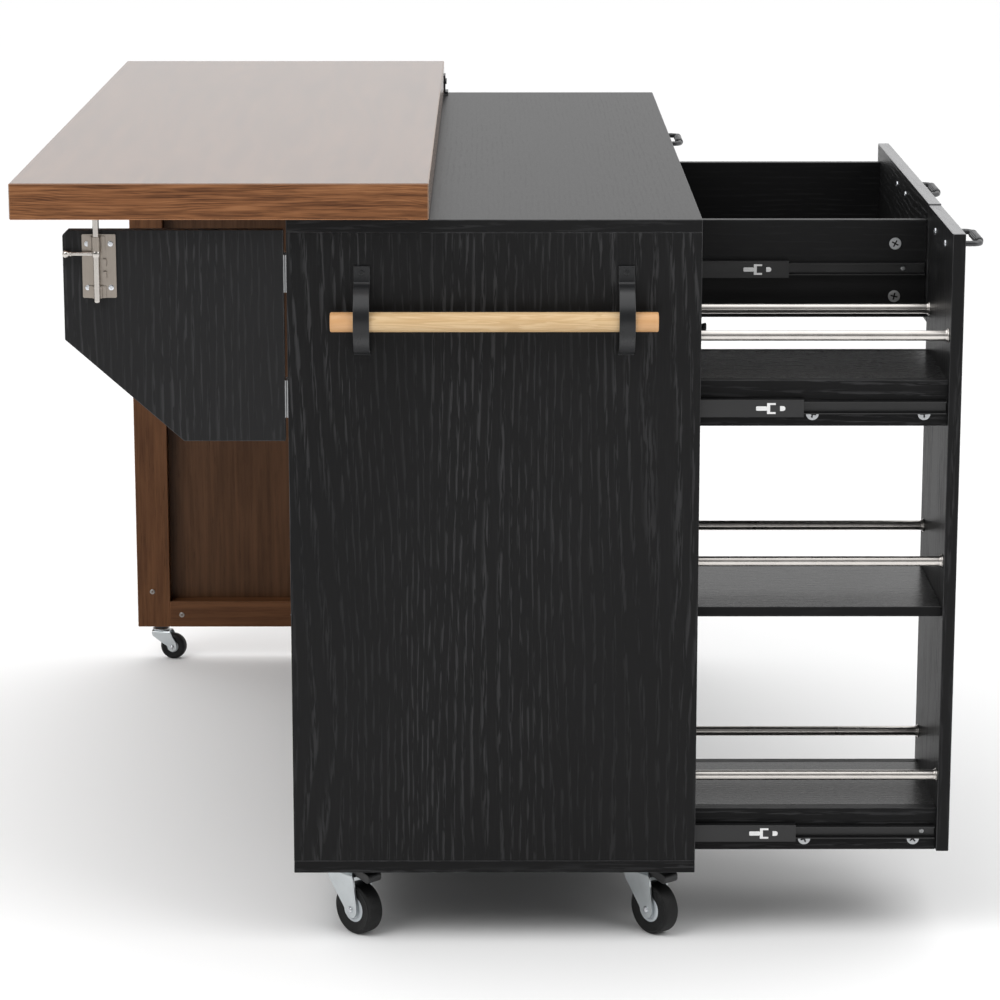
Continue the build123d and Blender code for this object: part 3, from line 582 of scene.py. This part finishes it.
    def done(self, name, mat, body, slot, replaces=(), bevel=None, angle=35, segs=2, subsurf=0):
        bmesh.ops.recalc_face_normals(self.bm, faces=self.bm.faces[:])
        me = bpy.data.meshes.new(name)
        self.bm.to_mesh(me)
        self.bm.free()
        o = bpy.data.objects.new(name, me)
        bpy.context.scene.collection.objects.link(o)
        me.shade_smooth()
        me.set_sharp_from_angle(angle=math.radians(angle))
        me.materials.append(MATS[mat])
        if bevel:
            b = o.modifiers.new("bevel", "BEVEL")
            b.width = bevel / 1000
            b.segments = segs
            b.limit_method = "ANGLE"
            b.angle_limit = math.radians(38)
            b.harden_normals = True
        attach(o, body)
        if replaces:
            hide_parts(*replaces)
        return o


def local(node):
    """Corners of a CAD node in millimetres from the near end, the back face and the floor."""
    a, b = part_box(node)
    return ((a.x - OX) * 1000, (a.y - OY) * 1000, a.z * 1000), ((b.x - OX) * 1000, (b.y - OY) * 1000, b.z * 1000)


def box_outline(x0, x1, y0, y1, c=0.0):
    if not c:
        return [(x0, y0), (x1, y0), (x1, y1), (x0, y1)]
    return [(x0 + c, y0), (x1 - c, y0), (x1, y0 + c), (x1, y1 - c), (x1 - c, y1), (x0 + c, y1), (x0, y1 - c), (x0, y0 + c)]


# ------------------------------------------------------------------ casters
joint_at = {j["name"]: j for j in frame["joints"]}


def caster(tag, swivel, spin, fork_node, wheel_node, fork_body, wheel_body, g):
    s, w = joint_at[swivel], joint_at[spin]
    sx, sy = (s["pos_m"][0] - OX) * 1000, (s["pos_m"][1] - OY) * 1000
    wx, wy, wz = (w["pos_m"][0] - OX) * 1000, (w["pos_m"][1] - OY) * 1000, w["pos_m"][2] * 1000
    d = Vector((wx - sx, wy - sy, 0))
    trail = d.length
    d.normalize()
    M = frame_at(sx, sy, 0, (0, 0, 1), tuple(d))        # local X along the trail, Z up
    t = g["t"]
    go, top, cr = g["go"], g["top"], g["bend"]
    # section of the bent sheet, from the low end of one leg over the top to the other
    low = wz - g["eye"]
    zs = [low + g["eye"] * (1 - math.cos(a)) for a in [math.pi * k / 20 for k in range(0, 11)]]
    zs[0] += 0.02
    zs += [zs[-1] + (top - cr - zs[-1]) * k / 9 for k in range(1, 10)]
    sec = [((-go, z), (-go + t, z)) for z in zs]
    for k in range(1, 7):
        a = math.pi / 2 * k / 7
        sec.append(((-go + cr - cr * math.cos(a), top - cr + cr * math.sin(a)),
                    (-go + cr - (cr - t) * math.cos(a), top - cr + (cr - t) * math.sin(a))))
    sec.append(((-go + cr, top), (-go + cr, top - t)))
    sec = sec + [((-o[0], o[1]), (-i[0], i[1])) for o, i in reversed(sec)]
    ex = g["eye"]

    def edge_x(z, back):
        pts = g["back"] if back else g["front"]
        zc = wz
        best = None
        for (x0, z0), (x1, z1) in zip(pts, pts[1:]):
            if min(z0, z1) <= z <= max(z0, z1):
                best = x0 + (x1 - x0) * (z - z0) / (z1 - z0 + 1e-9)
        if best is None:
            best = pts[-1][0] if z < pts[-1][1] else pts[0][0]
        if z < zc + ex * 0.5:
            half = math.sqrt(max(0.0, ex * ex - (z - zc) ** 2))
            circ = trail - half if back else trail + half
            if z <= zc:
                return circ
            k = (z - zc) / (ex * 0.5)
            k = k * k * (3 - 2 * k)
            return circ * (1 - k) + best * k
        return best

    F = Shape()
    rings = []
    for (yo, zo), (yi, zi) in sec:
        xb, xf = edge_x(zo, True), edge_x(zo, False)
        rings.append(F.ring([M @ Vector(p) for p in ((xb, yo, zo), (xf, yo, zo), (xf, yi, zi), (xb, yi, zi))]))
    for a, b in zip(rings, rings[1:]):
        F.skin(a, b)
    F.bm.faces.new(rings[0][::-1])
    F.bm.faces.new(rings[-1])
    F.done("caster_yoke_" + tag, "zinc", fork_body, "zinc", replaces=[fork_node], bevel=0.35)
    C = Shape()
    C.lathe(M, g["cup"], 48, closed=True)
    C.done("caster_raceway_" + tag, "zinc", fork_body, "zinc", angle=30)
    R = Shape()
    q = g["rivet"]
    for sgn in (1, -1):
        ax = Vector((0, sgn, 0))
        RM = M @ Matrix.Translation((trail, sgn * go, wz)) @ ax.to_track_quat("Z", "X").to_matrix().to_4x4()
        R.lathe(RM, [(0, -t - 0.6), (q * 0.6, -t - 0.6), (q * 0.6, -0.05), (q, -0.05), (q, 0.55), (q * 0.93, 1.25), (q * 0.74, 2.0),
                     (q * 0.45, 2.5), (0, 2.7)], 32)
    AM = M @ Matrix.Translation((trail, 0, wz)) @ Vector((0, 1, 0)).to_track_quat("Z", "X").to_matrix().to_4x4()
    R.lathe(AM, [(0, -go), (g["axle"], -go), (g["axle"], go), (0, go)], 24)
    R.done("caster_axle_" + tag, "screw_zinc", fork_body, "zinc", angle=50)
    if g.get("ring"):
        K = Shape()
        K.lathe(M, g["ring"], 48, closed=True)
        K.done("caster_seal_" + tag, "black_plastic", fork_body, "black_plastic", angle=30)
    T = Shape()
    T.lathe(AM, g["tyre"], 96, closed=True)
    T.done("tyre_" + tag, "caster_rubber", wheel_body, "caster_rubber", replaces=[wheel_node], angle=28)
    W = Shape()
    W.lathe(AM, g["hub"], 72, closed=True)
    W.done("hub_" + tag, "hub_grey", wheel_body, "caster_rubber", angle=28)


def mirror_profile(half):
    """half holds (radius, height) with height from the outer side to the middle plane."""
    return half + [(r, -t) for r, t in reversed(half)]


BIG = dict(
    t=2.5, go=14.7, top=78.5, bend=6.0, eye=10.6, axle=3.9, rivet=4.3,
    back=[(-17, 79), (-17.5, 70), (-15.5, 64), (11.6, 31.5)], front=[(21, 79), (24.5, 76.5), (26.8, 72), (32.0, 40), (32.6, 31.5)],
    cup=[(5, 78.4), (18.6, 78.4), (19.3, 79.4), (18.6, 81.6), (15.9, 82.6), (15.2, 83.4), (15.2, 86.4), (14.4, 87.2), (5, 87.2)],
    tyre=mirror_profile([(16.4, 9.2), (16.6, 10.1), (17.4, 10.6), (19.0, 10.8), (25.6, 10.8), (26.3, 11.0), (26.9, 11.35),
                         (27.5, 11.3), (28.0, 10.8), (28.4, 10.5), (29.8, 10.3), (30.8, 9.7), (31.35, 8.6), (31.5, 7.0), (31.5, 0.6)]),
    hub=mirror_profile([(4.05, 11.8), (6.2, 11.8), (6.8, 11.2), (6.8, 9.9), (7.6, 9.5), (12.4, 9.3), (12.9, 9.8), (15.6, 9.9), (16.3, 9.6), (16.5, 8.6)]),
)
SMALL = dict(
    t=2.0, go=10.8, top=45.5, bend=4.5, eye=7.4, axle=2.9, rivet=3.4,
    back=[(-12, 46), (-12.3, 41), (-10.8, 36.5), (12.8, 20)], front=[(14, 46), (16.6, 44.2), (18.4, 40), (26.6, 26), (27.2, 20)],
    cup=[(4.3, 45.4), (12.6, 45.4), (13.2, 46.2), (12.9, 47.6), (11.2, 48.7), (4.3, 48.7)],
    ring=[(4.3, 48.8), (10.6, 48.8), (10.9, 49.4), (10.9, 51.6), (10.3, 52.4), (4.3, 52.4)],
    tyre=mirror_profile([(9.0, 6.8), (9.2, 7.4), (10.0, 7.8), (15.4, 7.9), (16.0, 8.15), (16.5, 7.9), (17.6, 7.4), (19.0, 6.2), (19.7, 4.2),
                         (20.0, 1.6)]),
    hub=mirror_profile([(3.05, 8.5), (4.6, 8.5), (5.0, 8.0), (5.0, 7.0), (5.8, 6.5), (8.2, 6.4), (8.7, 6.9), (9.3, 6.6)]),
)
PEDAL = [(17.6, 75.6), (19.0, 78.6), (22.0, 80.6), (30.0, 83.0), (38.0, 82.8), (46.0, 81.6), (50.0, 80.2), (51.4, 77.6), (51.2, 73.0),
         (49.6, 70.0), (46.6, 69.2), (40.0, 70.8), (32.0, 73.2), (25.0, 73.6), (22.4, 70.6), (19.6, 70.2), (17.8, 72.4)]
for i in "12":
    s_, w_ = joint_at["caster_swivel_" + i]["pos_m"], joint_at["wheel_spin_" + i]["pos_m"]
    dv = Vector((w_[0] - s_[0], w_[1] - s_[1], 0)).normalized()
    side = Vector((0, 0, 1)).cross(dv)
    PM = frame_at((s_[0] - OX) * 1000, (s_[1] - OY) * 1000, 0, tuple(-side), tuple(dv))     # local X trail, Y up
    Q = Shape()
    Q.prism(PM, PEDAL, -10.6, 10.6)
    Q.done("brake_pedal_pad_" + i, "black_plastic", "brake_" + i, "black_plastic", replaces=["brake_pedal_" + i], bevel=1.2, segs=3, angle=50)
for i in "1234":
    caster(i, "caster_swivel_" + i, "wheel_spin_" + i, "caster_fork_" + i, "caster_wheel_" + i, "caster_" + i, "wheel_" + i, BIG)
caster("leg", "leg_caster_swivel", "leg_wheel_spin", "leg_caster_fork", "leg_caster_wheel", "leg_caster", "leg_wheel", SMALL)
# stem of the leg's caster, up in its socket
st = joint_at["leg_caster_swivel"]["pos_m"]
S = Shape()
S.lathe(frame_at((st[0] - OX) * 1000, (st[1] - OY) * 1000, 0, (0, 0, 1)), [(0, 45.6), (4, 45.6), (4, 81), (3, 82), (0, 82)], 24)
S.done("leg_caster_stem", "screw_zinc", "leg_caster", "zinc")


# ------------------------------------------------------------------ handles
def handle(node, body):
    (x0, y0, z0), (x1, y1, z1) = local(node)
    xc, zc = (x0 + x1) / 2, (z0 + z1) / 2
    c2, stand, r, br = 48.0, y1 - y0 - 5.3, 3.35, 9.0
    yf = y1
    path = []
    for k in range(0, 4):
        path.append((-c2, -(stand - br) * k / 3, 0))
    for k in range(1, 9):
        a = math.pi / 2 * k / 8
        path.append((-c2 + br * (1 - math.cos(a)), -(stand - br) - br * math.sin(a), 0))
    n = 12
    for k in range(1, n):
        path.append((-c2 + br + (2 * c2 - 2 * br) * k / n, -stand, 0))
    path += [(-x, y, z) for x, y, z in reversed(path[:12])]
    M = frame_at(xc, yf, zc, (0, 0, 1), (1, 0, 0))
    B = Shape()
    B.tube(M, path, r, 24)
    for sx in (-1, 1):
        B.lathe(M @ Matrix.Translation((sx * c2, 0, 0)) @ Matrix.Rotation(math.pi / 2, 4, "X"),
                [(0, 0.02), (5.1, 0.02), (5.2, 0.6), (4.9, 1.5), (4.2, 2.1), (3.3, 2.2)], 28)
    B.done(node + "_bar", "black_metal", body, "black_metal", replaces=[node], angle=40)
    G = Shape()
    GM = M @ Matrix.Translation((0, -stand, 0)) @ Matrix.Rotation(math.pi / 2, 4, "Y")
    prof = [(3.1, -31.5), (4.2, -31.5), (4.7, -30.9), (4.7, -29.9), (4.1, -29.3), (4.1, -28.7), (4.9, -28.2), (5.35, -27.2), (5.35, -26.0),
            (4.95, -25.5)]
    for k in range(0, 13):
        t = -24.5 + 49.0 * k / 12
        prof.append((5.05 + 0.28 * math.cos(t / 24.5 * math.pi / 2), t))
    prof += [(r_, -t_) for r_, t_ in reversed(prof[:10])]
    G.lathe(GM, prof, 84, flute=(14, 0.75, -24.6, 24.6))
    G.done(node + "_grip", "black_metal", body, "black_metal", angle=55)
    # screw heads on the inner face of the front
    Z = Shape()
    for sx in (-1, 1):
        Z.head(frame_at(xc + sx * c2, yf + 15.0, zc, (0, 1, 0)), 4.2, 1.5, depth=1.1)
    Z.done(node + "_screws", "screw_zinc", body, "zinc")


for node, body in (("pullout_handle", "pullout"), ("middle_drawer_handle", "middle_drawer"), ("far_drawer_handle", "far_drawer")):
    handle(node, body)


def knob(node, body):
    (x0, y0, z0), (x1, y1, z1) = local(node)
    K = Shape()
    M = frame_at((x0 + x1) / 2, y1, (z0 + z1) / 2, (0, -1, 0))
    n = (y1 - y0) - 26.0
    K.lathe(M, [(0, 0.02), (5.3, 0.02), (5.5, 0.7), (5.2, 1.5), (4.2, 2.4), (3.6, 3.8), (3.3, 8.0), (3.5, 13.0 + n * 0.7), (4.2, 18.0 + n),
                (5.3, 22.0 + n), (5.9, 23.6 + n), (5.9, 24.4 + n), (5.5, 25.3 + n), (4.6, 25.8 + n), (2.4, 25.95 + n), (0, 26.0 + n)], 40)
    K.done(node + "_turned", "black_metal", body, "black_metal", replaces=[node], angle=45)
    Z = Shape()
    Z.head(frame_at((x0 + x1) / 2, y1 + 15.0, (z0 + z1) / 2, (0, 1, 0)), 4.0, 1.4, depth=1.0)
    Z.done(node + "_screw", "screw_zinc", body, "zinc")


for node, body in (("knob_middle_near", "door_mid_near"), ("knob_middle_far", "door_mid_far"), ("knob_far", "door_far_col")):
    knob(node, body)

# ------------------------------------------------------------------ towel rail's hooks
(hx0, hy0, hz0), (hx1, hy1, hz1) = local("towel_hooks")
(tx0, ty0, tz0), (tx1, ty1, tz1) = local("towel_dowel")
hook_z = (tz0 + tz1) / 2
hw = 18.7
K, Z = Shape(), Shape()
for yc in (hy0 + hw / 2, hy1 - hw / 2):
    ro, th = 41.0, 3.6
    rm = ro - th / 2
    path = [(-th / 2 + 0.2, ro + 21.0 - 0.6), (-th / 2 + 0.2, ro + 12), (-th / 2 + 0.2, ro + 3.4)]
    for k in range(1, 5):                       # small bend from the tab into the ring
        a = math.pi / 2 * k / 5
        path.append((-th / 2 + 0.2 - 3.6 * (1 - math.cos(a)) - 0.6 * k / 5, ro + 3.4 - 5.0 * math.sin(a)))
    for k in range(0, 33):
        a = math.radians(80 - 160 * k / 32)
        path.append((-rm * math.cos(a), rm * math.sin(a)))
    path.append((-3.0, -ro + 0.6))
    path.append((-1.7, -ro - 0.4))
    K.strap(frame_at(0, yc, hook_z, (0, 0, 1), (1, 0, 0)), path, th, hw)
    Z.head(frame_at(-3.4, yc, hook_z + ro + 13, (-1, 0, 0)), 3.4, 0.9, depth=0.7, sink=0.4)
K.done("towel_hook_straps", "hook_black", "cabinet", "black_metal", replaces=["towel_hooks"], bevel=0.7, segs=3)
Z.done("towel_hook_screws", "hook_black", "cabinet", "black_metal")

# ------------------------------------------------------------------ barrel bolt
(px0, py0, pz0), (px1, py1, pz1) = local("bolt_plate")
(rx0, ry0, rz0), (rx1, ry1, rz1) = local("bolt_rod")
bx_, by_ = (rx0 + rx1) / 2, (ry0 + ry1) / 2
arm_z = pz0 + 51.9
Z = Shape()
for y in (py0 + 6.2, py1 - 6.2):
    for z in (pz0 + 12.0, pz1 - 11.0):
        Z.head(frame_at(-1.8, y, z, (-1, 0, 0)), 3.3, 0.9, depth=0.7, sink=0.3, turn=0.2 + 0.01 * z)
Z.done("bolt_screws", "screw_zinc", "bracket", "satin_nickel")
K = Shape()
KM = frame_at(bx_, by_, arm_z, (0, 1, 0))
K.lathe(frame_at(bx_, by_, arm_z, (0, 0, 1)), [(3.8, -3.6), (4.7, -3.6), (5.0, -3.2), (5.0, 3.0), (4.7, 3.4), (3.8, 3.4)], 36, closed=True)
prof = [(0, 3.9), (2.55, 3.9), (2.5, 8.0), (2.25, 24.0), (2.25, 28.4), (3.1, 28.6), (3.3, 29.2), (3.1, 29.8), (2.5, 30.1)]
for k in range(0, 15):
    a = math.radians(-56 + 146 * k / 14)
    prof.append((max(0.0, 4.6 * math.cos(a)), 34.6 + 4.6 * math.sin(a)))
prof[-1] = (0, 39.2)
K.lathe(KM, prof, 40)
K.done("bolt_knob_turned", "bright_nickel", "bolt_arm", "satin_nickel", replaces=["bolt_knob"], angle=50)

# ------------------------------------------------------------------ slide levers, cam locks, small screws
SW = 12.7


def lever(body, x, s, z, y_front):
    """Release lever and retainer of one slide, on the outer face of its middle member, s towards the drawer."""
    A, B = Shape(), Shape()
    M = frame_at(x, y_front, z, (-s, 0, 0), (0, 1, 0))     # local X to the rear, local Z away from the drawer
    flip = 1
    A.prism(M, box_outline(43, 56, -2.6 * flip, 2.6 * flip, 0.8), 0, 0.75)
    A.prism(M, [(33, -6.5), (43.2, -6.5), (43.2, 6.5), (33, 6.5), (33, 4.2), (39.5, 4.2), (39.5, -4.2), (33, -4.2)], 0, 0.75)
    tip = [(28, -2.9)] + [(24.6 - 2.9 * math.sin(math.pi * k / 12), -2.9 * math.cos(math.pi * k / 12)) for k in range(13)] + [(28, 2.9)]
    A.prism(M, tip, 0, 0.75)
    B.prism(M, box_outline(27.8, 39.6, -3.2, 3.2, 1.0), 0, 0.6)
    return A, B


def merge(shapes, name, mat, body, slot, **kw):
    S = Shape()
    for sh in shapes:
        me = bpy.data.meshes.new("tmp")
        sh.bm.to_mesh(me)
        sh.bm.free()
        S.bm.from_mesh(me)
        bpy.data.meshes.remove(me)
    return S.done(name, mat, body, slot, **kw)


for node, body, zs in (("pullout_mid_members", "pullout_mid", (H(225.0), H(745.5))), ("middle_mid_members", "middle_mid", (H(100.0),))):
    (x0, y0, z0), (x1, y1, z1) = local(node)
    parts_a, parts_b = [], []
    for z in zs:
        for x, s in ((x0, 1), (x1, -1)):
            a, b = lever(body, x, s, z, y0)
            parts_a.append(a)
            parts_b.append(b)
    merge(parts_a, node + "_levers", "white_plastic", body, "nylon", bevel=0.15)
    merge(parts_b, node + "_tongues", "black_plastic", body, "black_plastic", bevel=0.15)

# screws through the drawer-side members, near their front ends
for node, body, zs, at in (("pullout_slide_members", "pullout", (H(745.5),), 15.0),
                           ("middle_drawer_slide_members", "middle_drawer", (H(100.0),), 26.0)):
    (x0, y0, z0), (x1, y1, z1) = local(node)
    Z = Shape()
    for z in zs:
        for x, n in ((x0 + 8.4 - 1.2, -1), (x1 - 8.4 + 1.2, 1)):
            for y in (y0 + at,):
                Z.head(frame_at(x, y, z, (n, 0, 0)), 3.0, 0.9, depth=0.6, sink=0.4, turn=0.3 + 0.02 * z + 0.03 * y)
    Z.done(node + "_screws", "hinge_zinc", body, "zinc")

# cams that draw the drawers' and tiers' boards tight
(wx0, wy0, wz0), (wx1, wy1, wz1) = local("middle_drawer_walls")
Z = Shape()
for x, n in ((wx0, -1), (wx1, 1)):
    for y in (wy0 + 38,):
        for z in (wz1 - 29.5, wz0 + 26):
            Z.head(frame_at(x, y, z, (n, 0, 0)), 7.4, 0.45, arm=0.62, half=0.13, depth=2.2, flat=0.80, sink=0.5, turn=0.6 + 0.02 * z)
Z.done("middle_drawer_cams", "cam_zinc", "middle_drawer", "zinc")
(wx0, wy0, wz0), (wx1, wy1, wz1) = local("far_drawer_box")
Z = Shape()
for x, n in ((wx0, -1), (wx1, 1)):
    for z in (wz1 - 29.5, wz0 + 26):
        Z.head(frame_at(x, wy0 + 38, z, (n, 0, 0)), 7.4, 0.45, arm=0.62, half=0.13, depth=2.2, flat=0.80, sink=0.5, turn=0.5 + 0.03 * z)
Z.done("far_drawer_cams", "cam_zinc", "far_drawer", "zinc")

(wx0, wy0, wz0), (wx1, wy1, wz1) = local("pullout_side_boards")
Z = Shape()
for x, n in ((wx0, -1), (wx1, 1)):
    for y in (wy0 + 27, wy0 + 158):
        for z in (H(225.0) - 8.6, H(745.5) - 9.8):
            Z.head(frame_at(x, y, z, (n, 0, 0)), 7.4, 0.45, arm=0.62, half=0.13, depth=2.2, flat=0.80, sink=0.5, turn=0.9 + 0.02 * z + 0.01 * y)
Z.done("pullout_cams", "cam_zinc", "pullout", "zinc")

# guard rails' end flanges
(wx0, wy0, wz0), (wx1, wy1, wz1) = local("pullout_guard_rails")
R = Shape()
for x in (wx0 + 6.0, wx1 - 6.0):
    for z in (H(142.0), H(413.5), H(678.0)):
        for y, n in ((wy0, 1), (wy1, -1)):
            R.lathe(frame_at(x, y, z, (0, n, 0)), [(6.05, 0.05), (8.2, 0.05), (8.4, 0.5), (8.2, 1.1), (7.0, 1.6), (6.6, 3.6), (6.05, 3.8)],
                    40, closed=True)
R.done("guard_rail_flanges", "chrome_tube", "pullout", "chrome_tube", angle=40)

# ------------------------------------------------------------------ gate leg screws
(gx0, gy0, gz0), (gx1, gy1, gz1) = local("leg_frame")
Z = Shape()
for y in (gy1 - 23, gy0 + 23):
    for z in (gz0 + 56, gz1 - 60):
        Z.head(frame_at(gx0, y, z, (-1, 0, 0)), 4.0, 0.7, depth=0.8, sink=0.3, turn=0.02 * z)
for y in (gy1 - 68, gy0 + 68):
    for z in (gz0 + 19, gz1 - 24):
        Z.head(frame_at(gx0, y, z, (-1, 0, 0)), 4.0, 0.7, depth=0.8, sink=0.3, turn=0.03 * z)
Z.done("leg_frame_screws", "screw_leg", "gate_leg", "zinc")

# ------------------------------------------------------------------ door hinge cups on the doors' inner faces
def cups(door, body, hinge_x, s):
    (x0, y0, z0), (x1, y1, z1) = local(door)
    C, Z = Shape(), Shape()
    for z in (190.0, 625.0):
        M = frame_at(hinge_x + s * 24.0, y1, z, (0, 1, 0), (0, 0, 1))
        C.lathe(M, [(0, 0.02), (17.2, 0.02), (17.4, 0.5), (17.0, 1.0), (13.0, 1.1), (12.2, 0.6), (11.5, 0.5), (0, 0.5)], 48)
        C.prism(M, box_outline(-26, 26, -6, 6, 2.5), 0.02, 0.9)
        for dz in (-21.5, 21.5):
            Z.head(frame_at(hinge_x + s * 24.0, y1 + 0.85, z + dz, (0, 1, 0)), 3.2, 0.8, depth=0.6, sink=0.2)
    C.done(door + "_hinge_cups", "zinc", body, "zinc", angle=35)
    Z.done(door + "_cup_screws", "screw_zinc", body, "zinc")


d = {n: local(n) for n in ("door_middle_near", "door_middle_far", "door_far")}
cups("door_middle_near", "door_mid_near", d["door_middle_near"][0][0] + 6, 1)
cups("door_middle_far", "door_mid_far", d["door_middle_far"][1][0] - 6, -1)
cups("door_far", "door_far_col", d["door_far"][1][0] + 2, -1)

# ------------------------------------------------------------------ floor, light, camera
bpy.ops.mesh.primitive_plane_add(size=80, location=(0, 0, 0))
floor = bpy.context.object
floor.name = "studio_floor"
FM = Mat("studio_floor")
FM.set(color=(0.90, 0.90, 0.90), rough=0.9)
FM.b.inputs["Specular IOR Level"].default_value = 0.0
floor.data.materials.append(FM.m)

world = bpy.data.worlds.new("studio")
bpy.context.scene.world = world
world.use_nodes = True
wt = world.node_tree
wt.nodes.clear()
wo = wt.nodes.new("ShaderNodeOutputWorld")
bg = wt.nodes.new("ShaderNodeBackground")
wt.links.new(bg.outputs[0], wo.inputs[0])
wtc = wt.nodes.new("ShaderNodeTexCoord")
ws = wt.nodes.new("ShaderNodeSeparateXYZ")
wt.links.new(wtc.outputs["Generated"], ws.inputs[0])
# bright sweep low on the far side, a soft light overhead, dim behind the viewer
def ramp(src, a, b, lo, hi):
    n = wt.nodes.new("ShaderNodeMapRange")
    n.interpolation_type = "SMOOTHSTEP"
    wt.links.new(src, n.inputs[0])
    n.inputs[1].default_value, n.inputs[2].default_value = a, b
    n.inputs[3].default_value, n.inputs[4].default_value = lo, hi
    return n.outputs[0]


wa = wt.nodes.new("ShaderNodeMath")
wa.operation = "ADD"
wt.links.new(ramp(ws.outputs["X"], -0.5, 0.6, 0.14, 0.92), wa.inputs[0])
wt.links.new(ramp(ws.outputs["Z"], 0.50, 0.95, 0.0, 1.30), wa.inputs[1])
wt.links.new(wa.outputs[0], bg.inputs["Strength"])
bg.inputs["Color"].default_value = (1, 1, 1, 1)


def area(name, loc, target, size, power, color=(1, 1, 1)):
    l = bpy.data.lights.new(name, "AREA")
    l.shape = "RECTANGLE"
    l.size, l.size_y = size
    l.energy = power
    l.color = color
    o = bpy.data.objects.new(name, l)
    bpy.context.scene.collection.objects.link(o)
    o.location = loc
    o.rotation_euler = (Vector(target) - Vector(loc)).to_track_quat("-Z", "Y").to_euler()
    return o


area("key", (-2.4, 2.4, 3.2), (0, 0, 0.4), (2.6, 2.6), 70)
area("fill", (-2.2, -3.0, 2.6), (0, 0, 0.4), (2.6, 2.6), 50)

cam = bpy.data.cameras.new("camera")
cam_o = bpy.data.objects.new("camera", cam)
bpy.context.scene.collection.objects.link(cam_o)
cam.sensor_width = 36.0
cam.lens = 129.03
cam.clip_end = 200
pitch, yaw = math.radians(12.801), math.radians(-0.129)
fw = Vector((math.cos(pitch) * math.cos(yaw), math.cos(pitch) * math.sin(yaw), -math.sin(pitch)))
cam_o.location = P(-4092.1, -237.4, 1478.1)
cam_o.rotation_euler = fw.to_track_quat("-Z", "Y").to_euler()
bpy.context.scene.camera = cam_o
bpy.context.scene.view_settings.view_transform = "Standard"
